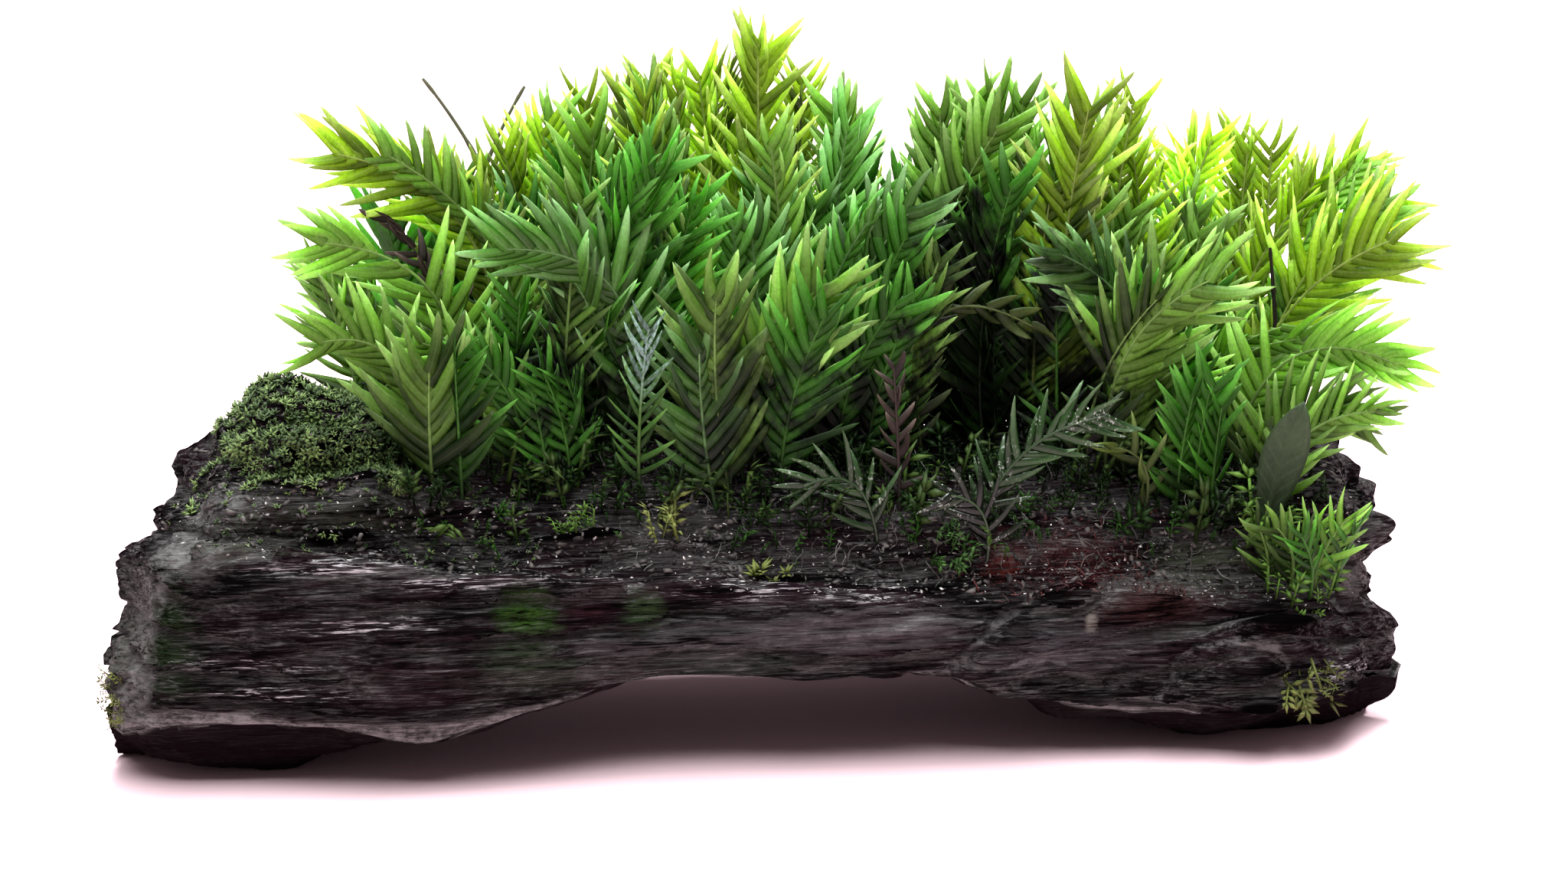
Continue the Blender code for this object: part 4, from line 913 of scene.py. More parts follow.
def wood_material():
    """Dark, wet, fibrous wood: black and purple-brown grain, grey rim, algae stains, painted glints and
    shade.
    """
    material, wires, place = new_material("wet_driftwood")
    band, relief, fold = (wires.attribute(name) for name in ("band", "relief", "fold"))
    broad = grain(place, (9.0, 4.0, 2.6), 3.0)
    fibre = grain(place, (3.4, 0.45, 0.20), 6.0, 0.72, 3.0)
    thread = grain(place, (2.0, 0.20, 0.085), 3.0, 0.6, 8.0)
    mottle = grain(place, (0.8, 0.6, 0.5), 6.0, 0.75, 5.0)
    dash = grain(place, (2.2, 0.25, 0.09), 3.0, 0.6, 21.0)
    raised = relief + (fibre - 0.5) * 2.4
    woven = fibre.ramped(0.34, 0.52, 0.40, 1.0)

    colour = broad.ramped(0.42, 0.58).tints(WOOD_BLACK, WOOD_PURPLE)
    colour = raised.ramped(0.00, 0.60, 0.0, 0.9).tints(colour, WOOD_GREY)
    for _, middle, reach, stain, strength in STAINS:
        colour = (patch(place, middle, reach, mottle) * woven * strength).tints(colour, stain)
    streak = thread.ramped(0.52, 0.62) * raised.ramped(-0.15, 0.35)
    colour = (streak * 0.50).tints(colour, WOOD_PALE)

    width = wires.add("ShaderNodeSeparateXYZ", (place,), "X").ramped(-19.0, -12.0, 0.9, 0.38)
    above = band / width
    rim_end = (band.left_of(float(len(RAILS))) / width).ramped(0.02, 0.12, 1.0, 0.0)
    rim = above.ramped(0.10, 0.26, 1.0, 0.0).step("MAXIMUM", rim_end)
    rim = rim * mottle.ramped(0.36, 0.56, 0.25, 1.0) * fibre.ramped(0.34, 0.56, 0.35, 1.0)
    # Painted shade: a dark line along the skin just above the rim
    shade_line = above.ramped(0.22, 0.34) * above.ramped(0.40, 0.62, 1.0, 0.0)
    colour = (shade_line * 0.85).tints(colour, WOOD_PAINTED_SHADE)
    colour = rim.tints(colour, WOOD_RIM)
    ridge = fold.ramped(0.55, 0.95, 0.0, 0.55) * mottle.ramped(0.38, 0.56, 0.1, 1.0)
    colour = ridge.tints(colour, WOOD_PALE)
    colour = mottle.ramped(0.32, 0.66, 0.60, 1.45).dims(colour)

    # Painted highlights: short pale dashes in the places where wet streaks of the grain shine
    painted_glint_reach = 0.06
    for middle, reach in PAINTED_GLINTS:
        painted_glint_reach = patch(place, middle, reach, mottle).step("MAXIMUM", painted_glint_reach)
    painted_glint = dash.ramped(0.54, 0.60) * painted_glint_reach * raised.ramped(-0.40, 0.10)
    colour = (painted_glint * 0.9).tints(colour, WOOD_PAINTED_GLINT)
    # Painted shade in cracks, hollows and on the underside; there the wood also stays dull
    under = band.ramped(9.6, 10.6) * rim_end.left_of(1.0)
    hollow = raised.ramped(-0.46, -0.14, 0.95, 0.0).step("MAXIMUM", fold.ramped(-0.80, -0.20, 1.0, 0.0))
    colour = hollow.tints(colour, WOOD_PAINTED_SHADE)
    colour = (under * 0.9).tints(colour, WOOD_UNDERSIDE_SHADE)
    hollow = hollow.step("MAXIMUM", under)

    bump = wires.bump(fibre * 0.7 + thread * 0.45 + mottle * 0.35, 1.0, 1.1)
    wet = wires.surface(colour, fibre.ramped(0.40, 0.60, 0.80, 0.25) - painted_glint * 0.2, 0.25, Normal=bump)
    dull = wires.add("ShaderNodeBsdfDiffuse", {"Color": colour, "Normal": bump})
    wetness = raised.ramped(-0.15, 0.40, 0.0, 0.85) * hollow.left_of(1.0)
    wires.add("ShaderNodeOutputMaterial", (wires.add("ShaderNodeMixShader", (wetness, dull, wet)),))
    return material


def leaf_material(kind):
    """Thin moss leaf: darker low in the plant, paler midrib and tip, uneven green, light shining through."""
    foot, blade, tip, through, clearness, roughness, wetness = LEAF_LOOKS[kind]
    material, wires, place = new_material(f"{kind}_moss_leaf")
    along, share, shade, across = (wires.attribute(name) for name in ("along", "share", "shade", "across"))
    across = across.step("ABSOLUTE")
    blotch = grain(place, (1.6, 1.6, 1.9))
    cells = grain(place, (0.16, 0.16, 0.22), 2.0, 0.6, 2.0)
    age = blotch * 0.9 + shade * 0.45 + share * 0.35

    colour = age.ramped(0.30, 0.90).tints(foot, blade)
    colour = (along.ramped(0.42, 1.00) * age.ramped(0.45, 1.10, 0.40, 1.0)).tints(colour, tip)
    midrib = across.ramped(0.02, 0.28, 0.26, 0.0) * along.ramped(0.0, 0.9, 1.0, 0.3)
    if kind == "broad":
        side_veins = ((along - across * 0.14) * 75.0).step("SINE")
        midrib = midrib.step("MAXIMUM", side_veins.ramped(0.55, 0.95, 0.0, 0.30))
    colour = midrib.tints(colour, tip)
    colour = (across.ramped(0.72, 1.0, 0.0, 0.30) * along.ramped(0.4, 0.7)).tints(colour, tip)
    if kind == "pale":
        colour = (share.ramped(0.52, 0.84) * cells.ramped(0.42, 0.56, 0.25, 1.0)).tints(colour, PALE_BLOOM)

    dim = share.ramped(0.0, 0.50, 0.14, 1.0) * cells.ramped(0.25, 0.75, 0.85, 1.10)
    dim = dim * shade.ramped(-1.0, 2.0, 0.28, 1.60)
    if kind not in ("broad", "stalk"):
        dim = dim * along.ramped(0.10, 0.75, 0.68, 1.08)
    # Painted shade where the clump is deepest
    for middle, reach, left in SHADED if kind in COMPANIONS else ():
        dim = dim * patch(place, middle, reach, blotch).ramped(0.0, 1.0, 1.0, left)
    colour = dim.dims(colour)
    glow = dim.dims(age.ramped(0.30, 0.95).tints(blade, through))
    # Painted glints on wet leaves
    if wetness > 0.0:
        colour = (cells.ramped(0.57, 0.63) * blotch.ramped(0.46, 0.60, 0.0, wetness)).tints(colour, WET_PAINTED_GLINT)

    bump = wires.bump(cells * 0.25 + across.ramped(0.0, 0.25, 0.5, 0.0), 0.4, 0.05)
    solid = wires.surface(colour, roughness, 0.25, Normal=bump, Coat_Roughness=0.12,
                          Coat_Weight=0.3 * wetness)
    clear = wires.add("ShaderNodeBsdfTranslucent", {"Color": glow, "Normal": bump})
    wires.add("ShaderNodeOutputMaterial", (wires.add("ShaderNodeMixShader", (clearness, solid, clear)),))
    return material


def speck_material(name, dark, light, roughness):
    """Crumbs, chips and threads: a dark and a light tone mottled piece by piece, rough, finely pitted."""
    material, wires, place = new_material(name)
    mottle = grain(place, (0.5, 0.3, 0.3), 4.0, 0.65)
    colour = (mottle * 0.6 + wires.attribute("shade") * 0.6).ramped(0.35, 0.95).tints(dark, light)
    shader = wires.surface(colour, roughness, 0.4, Normal=wires.bump(mottle, 0.6, 0.1))
    wires.add("ShaderNodeOutputMaterial", (shader,))
    return material


def dress_wood():
    """The log; returns the shape that roots are looked up on, and its points, faces and bands."""
    points, faces, bands, reliefs, folds = wood_shape()
    tree = BVHTree.FromPolygons(points, faces)
    mesh = plain_mesh("driftwood_log", points, faces, {"band": bands, "relief": reliefs, "fold": folds})
    smooth_piece(mesh, wood_material(), ("driftwood",))
    return tree, (points, faces, bands)


def blade_mesh(name, points, count, attributes):
    """A closed blade from rings of this many points; its last two points are its foot and its tip."""
    foot, tip = len(points) - 2, len(points) - 1
    faces = tube_faces(foot // count, count)
    for k in range(count):
        j = (k + 1) % count
        faces += [(j, k, foot), (foot - count + k, foot - count + j, tip)]
    return plain_mesh(name, points, outward_faces(points, faces), attributes)


def leaf_pattern(bend, curl, twist, hand):
    """One thin closed leaf of unit length and width, its outer half folded, twisted and bent to a hand."""
    points = []
    for share, half in LEAF_OUTLINE:
        for place, height in LEAF_SECTION:
            raised = (LEAF_FOLD * abs(place) + twist * place) * 0.5 * half * share**2
            sideways = 0.5 * place * half - bend * share**2
            points.append((hand * sideways, share, height + raised - curl * share**2))
    points += [(-hand * bend * share**2, share, -curl * share**2) for share in (-0.02, 1.0)]
    along = [share for share, _ in LEAF_OUTLINE for _ in LEAF_SECTION] + [0.0, 1.0]
    across = [place for place, _ in LEAF_SECTION] * len(LEAF_OUTLINE) + [0.0, 0.0]
    return blade_mesh("leaf", points, len(LEAF_SECTION), {"along": along, "across": across})


def pattern_collection(name, meshes):
    """The shapes that a tree picks from, kept together while the plants are grown."""
    group = bpy.data.collections.new(name)
    for i, mesh in enumerate(meshes):
        group.objects.link(bpy.data.objects.new(f"{name}_{i}", mesh))
    return group


def clear_patterns(group):
    """Remove the shapes once everything is grown."""
    for thing in list(group.objects):
        bpy.data.objects.remove(thing, do_unlink=True)
    bpy.data.collections.remove(group)


def new_growth_tree(name, sockets):
    """An empty geometry tree with its named inputs; returns its wiring and the inputs' values."""
    tree = bpy.data.node_groups.new(name, "GeometryNodeTree")
    tree.interface.new_socket("Geometry", in_out="OUTPUT", socket_type="NodeSocketGeometry")
    for label, kind in (("Geometry", "Geometry"), *sockets, ("Material", "Material")):
        tree.interface.new_socket(label, in_out="INPUT", socket_type="NodeSocket" + kind)
    wires = Wiring(tree)
    first = wires.add("NodeGroupInput")
    return wires, {socket.name: Wire(wires, socket) for socket in first.socket.node.outputs}


def finish_growth(wires, parts, material):
    """Join what has grown, make it real, give it its material and end the tree."""
    join = wires.add("GeometryNodeJoinGeometry")
    for part in parts:
        wires.tree.links.new(part.socket, join.socket.node.inputs[0])
    real = wires.add("GeometryNodeRealizeInstances", (join,))
    smooth = wires.add("GeometryNodeSetShadeSmooth", (real,))
    wires.add("NodeGroupOutput", (wires.add("GeometryNodeSetMaterial", {0: smooth, 2: material}),))
    return wires.tree


def round_stem(wires, line, sides, radius):
    """A line turned into a stem with this many sides."""
    ring = wires.add("GeometryNodeCurvePrimitiveCircle", {"Resolution": sides, "Radius": 1.0})
    return wires.add("GeometryNodeCurveToMesh", (line, ring, radius, True))


FROND_SOCKETS = (
    ("Leaves", "Collection"), ("Facing", "Vector"), ("Bare Share", "Float"), ("Leaf Count", "Int"),
    ("Leaf Length", "Float"), ("Leaf Width", "Float"), ("Curl", "Float"), ("Unevenness", "Float"),
    ("Twist", "Float"), ("Kept Clear", "Float"), ("Tone", "Float"), ("Seed", "Int"),
)


def frond_tree():
    """Tree that grows a frond on a stem line: a tapering stem and two rows of leaves that take turns."""
    wires, given = new_growth_tree("feather_frond", FROND_SOCKETS)
    line = wires.add("GeometryNodeMeshToCurve", (given["Geometry"],))
    factor = wires.add("GeometryNodeSplineParameter", (), "Factor")
    marked = wires.stored(wires.stored(line, "share", factor), "along", STEM_PALENESS)
    stem = round_stem(wires, marked, 6, wires.between(1.0, 0.4, factor) * STEM_RADIUS)

    leafy = wires.add("GeometryNodeTrimCurve", {0: line, 2: given["Bare Share"], 3: 1.0}, mode="FACTOR")
    spots = wires.add("GeometryNodeResampleCurve", {0: leafy, 2: given["Leaf Count"]}, mode="COUNT")
    index = wires.add("GeometryNodeInputIndex")
    share = index / (given["Leaf Count"] - 1.0)
    turns = index.step("MODULO", 2.0)
    hand = turns * 2.0 - 1.0
    jitter = wires.chance(-1.0, 1.0, given["Seed"]) * given["Unevenness"]
    wander = wires.chance(-1.0, 1.0, given["Seed"], 11) * given["Unevenness"]

    forward = wires.add("GeometryNodeInputTangent")
    twist = given["Twist"] * (share - 0.4)
    facing = wires.add("ShaderNodeVectorRotate", {0: given["Facing"], 2: forward, 3: twist},
                       rotation_type="AXIS_ANGLE")
    side = forward.vector("CROSS_PRODUCT", facing).vector("NORMALIZE")
    outward = side.vector("CROSS_PRODUCT", forward).vector("NORMALIZE")
    angle = wires.between(LOWEST_LEAF_ANGLE, HIGHEST_LEAF_ANGLE, share) + jitter * LEAF_ANGLE_JITTER
    angle = angle.step("RADIANS")
    away = forward.scaled(angle.step("COSINE")).vector("ADD", side.scaled(angle.step("SINE") * hand))
    away = away.vector("ADD", outward.scaled(wander * 0.05 - LEAF_DROOP))
    upper = outward.vector("ADD", forward.scaled((wander * 0.05 + 0.04) * hand * -0.5))
    turn = wires.add("FunctionNodeAxesToRotation", (away, upper), primary_axis="Y", secondary_axis="Z")

    swell = (wires.between(0.18, 0.93, share) * math.pi).step("SINE")
    swell = wires.between(SHORTEST_LEAF, 1.0, swell) * wires.between(1.0, 1.12, jitter)
    reach = given["Leaf Length"] * swell
    width = given["Leaf Width"] * wires.between(1.0, 1.15, wander)
    sizes = wires.add("ShaderNodeCombineXYZ", (width, reach, width * given["Curl"]))

    leaf_middle = away.vector("NORMALIZE").scaled(reach * 0.55)
    leaf_middle = wires.add("GeometryNodeInputPosition").vector("ADD", leaf_middle)
    nearest = 2.0
    for middle, size in OPEN_GAPS:
        apart = leaf_middle.vector("SUBTRACT", middle).vector("DIVIDE", size).length()
        nearest = apart.step("MINIMUM", nearest)
    grows = nearest.step("GREATER_THAN", given["Kept Clear"])

    spots = wires.stored(spots, "share", wires.between(given["Bare Share"], 1.0, share))
    spots = wires.stored(spots, "shade", wires.chance(0.0, 1.0, given["Seed"], 23) + given["Tone"])
    shapes = wires.add("GeometryNodeCollectionInfo", (given["Leaves"], True, True))
    variants = float(len(LEAF_VARIANTS))
    pick = wires.chance(0.0, variants - 0.01, given["Seed"], 37).step("FLOOR") + turns * variants
    leaves = wires.add("GeometryNodeInstanceOnPoints", (spots, grows, shapes, True, pick, turn, sizes))
    return finish_growth(wires, (leaves, stem), given["Material"])


def stalk_tree():
    """Tree that turns a line into a bare stalk with swollen joints, thinner towards its tip."""
    wires, given = new_growth_tree("bare_stalk", ())
    line = wires.add("GeometryNodeMeshToCurve", (given["Geometry"],))
    factor = wires.add("GeometryNodeSplineParameter", (), "Factor")
    marked = wires.stored(line, "share", wires.between(0.6, 1.0, factor))
    swell = (factor * STALK_JOINTS).step("SINE").ramped(0.7, 1.0, 1.0, 1.35)
    stalk = round_stem(wires, marked, 8, wires.between(1.0, 0.35, factor) * STALK_RADIUS * swell)
    return finish_growth(wires, (stalk,), given["Material"])


def grown(name, line, tree, values, stands_for=()):
    """Grow a tree on a line or surface, make the result a plain mesh, and hang it on the body."""
    thing = added(name, line)
    growth = thing.modifiers.new("growth", "NODES")
    growth.node_group = tree
    for socket in tree.interface.items_tree:
        if socket.in_out == "INPUT" and socket.name in values:
            growth[socket.identifier] = values[socket.name]
    graph = bpy.context.evaluated_depsgraph_get()
    mesh = bpy.data.meshes.new_from_object(thing.evaluated_get(graph), preserve_all_data_layers=True,
                                           depsgraph=graph)
    thing.modifiers.remove(growth)
    thing.data = mesh
    bpy.data.meshes.remove(line)
    hang_on(thing, stands_for)


def stem_curve(root, middle, tip, steps=STEM_STEPS):
    """Points of a parabola from root to tip that passes through the middle point at its share of the way."""
    middle, tip = Vector(middle), Vector(tip)
    way = (middle - root).length
    share = way / (way + (tip - middle).length)
    bend = (middle - root * (1 - share) ** 2 - tip * share**2) / (2 * share * (1 - share))
    curve = []
    for i in range(steps + 1):
        t = i / steps
        curve.append(root * (1 - t) ** 2 + bend * (2 * t * (1 - t)) + tip * t**2)
    return curve


def stem_line(name, curve):
    """A stem as a mesh of points joined in a row, for a tree to grow a frond on."""
    mesh = bpy.data.meshes.new(name)
    mesh.from_pydata(curve, [(i, i + 1) for i in range(len(curve) - 1)], [])
    return mesh


def rooted(wood, place):
    """The point under the wood's surface where a stem at this place in plan starts."""
    hit = wood.ray_cast(Vector((*place, ABOVE_ALL)), Vector((0.0, 0.0, -1.0)))[0]
    return Vector((*place, hit.z - ROOT_DEPTH))


def facing_from_turn(turn):
    """Level direction that the flat of a frond looks to; 0 looks at the viewer in front of the log."""
    angle = math.radians(turn + VIEW_TURN)
    return Vector((math.sin(angle), -math.cos(angle), 0.0))


def short_of(tip, middle, leaf):
    """Where a stem stops, so that its last leaf ends at the tip."""
    return tip - (tip - middle).normalized() * END_LEAF * leaf


def grow_frond(bed, name, kind, curve, leaf, turn, seed, stands_for=(), bare=None):
    """One frond on its stem line, with as many leaves as fit its length."""
    _, tree, leaves, materials = bed
    kind = OTHER_KINDS.get(name.replace("_shoot", ""), kind)
    width, gap, curl, unevenness = GROWTH[kind]
    length = sum((b - a).length for a, b in zip(curve, curve[1:]))
    bare = bare or BARE_SHOOTS.get(name, BARE_SHARE + min(ROOT_DEPTH / length, 0.3))
    values = {
        "Leaves": leaves,
        "Facing": facing_from_turn(turn),
        "Bare Share": bare,
        "Leaf Count": max(FEWEST_LEAVES, round(length * (1.0 - bare) / gap)),
        "Leaf Length": leaf * LEAF_STRETCH,
        "Leaf Width": leaf * LEAF_STRETCH * width,
        "Curl": curl,
        "Unevenness": unevenness,
        "Twist": math.radians(STEM_TWIST) * math.sin(2.4 * seed),
        "Kept Clear": 1.0 if kind in COMPANIONS else 0.0,
        "Tone": TONES.get(name.replace("_shoot", ""), 0.0),
        "Seed": seed,
        "Material": materials[kind],
    }
    grown(name, stem_line(name, curve), tree, values, stands_for)


def grow_fronds(bed):
    """Every frond of the list, each in place of its plain one."""
    for i, (name, kind, root, middle, tip, leaf, turn) in enumerate(FRONDS):
        stop = short_of(Vector(tip), Vector(middle), leaf)
        curve = stem_curve(rooted(bed[0], root), middle, stop)
        grow_frond(bed, name + "_shoot", kind, curve, leaf, turn, FROND_SEED + i, ("frond_" + name,))


def hides_withered(tip, foot):
    """Whether a side shoot would stand in front of a withered frond and hide it."""
    spot = tip.lerp(foot, 0.4)
    return any(abs(spot.x - x) < reach and spot.y < y and tip.z > low for x, y, low, reach in KEPT_CLEAR)


def grow_companions(bed):
    """Shorter shoots that crowd round the foot and flanks of the listed fronds, mostly in their shade."""
    chance = random.Random(COMPANION_SEED)
    for name, kind, root, middle, tip, leaf, turn in FRONDS:
        full = stem_curve(rooted(bed[0], root), middle, tip)
        for i, companion in enumerate(COMPANIONS.get(kind, ())):
            angle = math.radians(chance.uniform(-COMPANION_FAN, COMPANION_FAN) + 180.0 * i)
            apart = Vector((math.cos(angle), math.sin(angle), 0.0)) * chance.uniform(*COMPANION_GAP)
            height = chance.uniform(*COMPANION_HEIGHT)
            foot = rooted(bed[0], (root[0] + apart.x, root[1] + apart.y))
            waist = full[round(0.5 * height * STEM_STEPS)] + apart
            top = full[round(height * STEM_STEPS)] + apart * 0.9
            if not hides_withered(top, foot):
                curve = stem_curve(foot, waist, top, STEM_STEPS // 2)
                grow_frond(bed, f"{name}_shoot_side_{i + 1}", companion, curve,
                           leaf * chance.uniform(*COMPANION_LEAF),
                           turn + chance.uniform(-COMPANION_TURN, COMPANION_TURN),
                           SIDE_SEED + len(bpy.data.objects))


def canopy_over(x):
    """Height that the listed fronds reach over a place along the log."""
    heights = [0.0]
    for _, _, _, middle, tip, leaf, _ in FRONDS:
        for step in range(5):
            spot = Vector(middle).lerp(Vector(tip), step / 4)
            if abs(spot.x - x) < 0.55 * leaf:
                heights.append(spot.z)
    return max(heights)


def grow_thickets(bed):
    """Shorter shoots that fill the plant between the listed fronds, under their outline."""
    for name, kinds, count, across, deep, low, high, shortest, longest in THICKETS:
        chance = random.Random(name)
        for i in range(count):
            x = across[0] + (across[1] - across[0]) * ((i + chance.random()) / count)
            y = chance.uniform(*deep)
            foot = rooted(bed[0], (x, y))
            lean = chance.uniform(-THICKET_LEAN, THICKET_LEAN)
            top = foot.z + (canopy_over(x + lean) - foot.z) * chance.uniform(low, high)
            forth = chance.uniform(-1.2, 0.8)
            tip = Vector((x + lean, y + forth, max(top, foot.z + SHORTEST_SHOOT)))
            middle = foot.lerp(tip, 0.55) - Vector((0.22 * lean, 0.2 * forth, 0.0))
            if not hides_withered(tip, foot):
                grow_frond(bed, f"{name}_{i + 1}", kinds[i % len(kinds)],
                           stem_curve(foot, middle, tip, STEM_STEPS // 2), chance.uniform(shortest, longest),
                           chance.uniform(-THICKET_TURN, THICKET_TURN), THICKET_SEED + 40 * len(name) + i)


def grow_crown(bed):
    """The thin light shoots that fill the outline behind the listed fronds."""
    seed = CROWN_SEED
    for group, rows in CROWN_SHOOTS.items():
        for i, (kind, root, tip, leaf, turn) in enumerate(rows):
            tip = Vector(tip)
            foot = rooted(bed[0], root)
            middle = foot.lerp(tip, 0.55)
            middle.x = 0.65 * foot.x + 0.35 * tip.x
            curve = stem_curve(foot, middle, short_of(tip, middle, leaf))
            grow_frond(bed, f"{group}_{i + 1}", kind, curve, leaf, turn, seed, bare=CROWN_BARE_SHARE)
            seed += 1


def grow_stalks(wood, materials):
    """The leafless stalks, each in place of its plain one."""
    tree = stalk_tree()
    for node, kind, root, middle, tip in STALKS:
        line = stem_line(node, stem_curve(rooted(wood, root), middle, tip))
        grown(node + "_twig", line, tree, {"Material": materials[kind]}, (node,))
    bpy.data.node_groups.remove(tree)


def broad_leaf(wood, material):
    """The one spoon-shaped leaf: a thin bowed blade with a midrib, on a short round stalk."""
    root, middle, tip, half_width, thickness, stalk = OVAL_LEAF
    curve = stem_curve(rooted(wood, root), middle, tip, BROAD_LEAF_RINGS)
    facing = facing_from_turn(0.0)
    shares = [i / BROAD_LEAF_RINGS for i in range(BROAD_LEAF_RINGS)]
    points = []
    for i, share in enumerate(shares):
        forward = (curve[i + 1] - curve[max(i - 1, 0)]).normalized()
        side = forward.cross(facing).normalized()
        outward = side.cross(forward).normalized()
        swell = stalk + math.sin(math.pi * share**1.8) * (1.12 * half_width - stalk)
        flat = min(swell / half_width * 1.6, 1.0)
        for place, height in BROAD_LEAF_SECTION:
            through = 0.5 * thickness * height + 0.30 * half_width * flat * place**2
            points.append(curve[i] + side * (swell * place) + outward * through)
    points += [curve[0], curve[-1]]
    mesh = blade_mesh("oval_leaf_blade", points, len(BROAD_LEAF_SECTION), {
        "along": [share for share in shares for _ in BROAD_LEAF_SECTION] + [0.0, 1.0],
        "across": [place for place, _ in BROAD_LEAF_SECTION] * BROAD_LEAF_RINGS + [0.0, 0.0],
        "share": [0.9] * len(points)})
    smooth_piece(mesh, material, ("oval_leaf",))


def leaflet(points, faces, foot, away, flat, length, width):
    """Add a tiny closed pointed leaf to a pattern: six faces round a ridge."""
    side = away.cross(flat).normalized() * (0.5 * width)
    a = len(points)
    waist = foot + away * (0.45 * length)
    points += [foot, waist + side, waist - side, waist + flat * (0.22 * width),
               foot + away * length - flat * (0.15 * length)]
    b, c, d, e = a + 1, a + 2, a + 3, a + 4
    faces += [(a, b, d), (a, d, c), (b, e, d), (d, e, c), (a, c, b), (b, c, e)]


def sprig_pattern(seed):
    """A tiny frond of unit height: a bent stem with three pairs of leaves and one at its end."""
    chance = random.Random(seed)
    points = []
    faces = []
    bend = chance.uniform(0.10, 0.35)
    stem = [Vector((bend * s * s, 0.0, s)) for s in (0.0, 0.25, 0.50, 0.75)]
    for i, spot in enumerate(stem[1:]):
        for hand in (-1.0, 1.0):
            away = Vector((0.55, hand * 0.8, chance.uniform(0.25, 0.6))).normalized()
            if i == 0:
                away = Vector((0.2, hand * 0.9, 0.45)).normalized()
            leaflet(points, faces, spot, away, Vector((-0.6, 0.0, 0.8)), chance.uniform(0.34, 0.48), 0.15)
    away = Vector((0.5, 0.0, 0.85)).normalized()
    leaflet(points, faces, stem[-1], away, Vector((-0.85, 0.0, 0.5)), 0.4, 0.13)
    first = len(points)
    for spot in (stem[0], stem[-1]):
        points += [spot + Vector((x, y, 0.0)) for x, y in ((0.035, 0.0), (-0.02, 0.03), (-0.02, -0.03))]
    faces += tube_faces(2, 3, first) + [(first + 2, first + 1, first), (first + 3, first + 4, first + 5)]
    return plain_mesh("sprig", points, faces)


def tuft_pattern(seed):
    """A little star of six leaves spreading from one point, of unit height."""
    chance = random.Random(seed)
    points = []
    faces = []
    for k in range(6):
        angle = math.radians(60.0 * k + chance.uniform(-20.0, 20.0))
        rise = chance.uniform(0.7, 1.6)
        away = Vector((math.cos(angle), math.sin(angle), rise)).normalized()
        flat = Vector((-math.cos(angle) * rise, -math.sin(angle) * rise, 1.0)).normalized()
        leaflet(points, faces, Vector(), away, flat, chance.uniform(0.7, 1.0), 0.30)
    return plain_mesh("tuft", points, faces)


def filament_pattern(seed, thickness):
    """A curling thread of unit length with three sides."""
    chance = random.Random(seed)
    points = []
    spot = Vector()
    heading = Vector((chance.uniform(-0.6, 0.6), chance.uniform(-0.6, 0.6), 1.0)).normalized()
    for i in range(5):
        thick = thickness * (1.0 - 0.18 * i)
        for k in range(3):
            angle = 2.0 * math.pi * k / 3
            points.append(spot + Vector((thick * math.cos(angle), thick * math.sin(angle), 0.0)))
        spot = spot + heading * 0.28
        heading += Vector((chance.uniform(-0.6, 0.6), chance.uniform(-0.6, 0.6), -0.15))
        heading.normalize()
    faces = tube_faces(5, 3) + [(2, 1, 0), (12, 13, 14)]
    return plain_mesh("filament", points, outward_faces(points, faces))


def crumb_pattern(seed):
    """A loose chip of bark or rot of unit size: a small uneven lump."""
    shape = bmesh.new()
    bmesh.ops.create_icosphere(shape, subdivisions=1, radius=0.5)
    for vertex in shape.verts:
        lump = noise.noise(vertex.co * 2.3 + Vector((seed * 3.1, 1.0, 2.0)))
        vertex.co = vertex.co * (1.0 + 1.1 * lump)
        vertex.co.x *= 1.8
        vertex.co.z *= 0.5
    mesh = bpy.data.meshes.new("crumb")
    shape.to_mesh(mesh)
    shape.free()
    return mesh


COVER_SETTINGS = ("Closest", "Most", "Smallest", "Largest", "Upright", "Light Share")


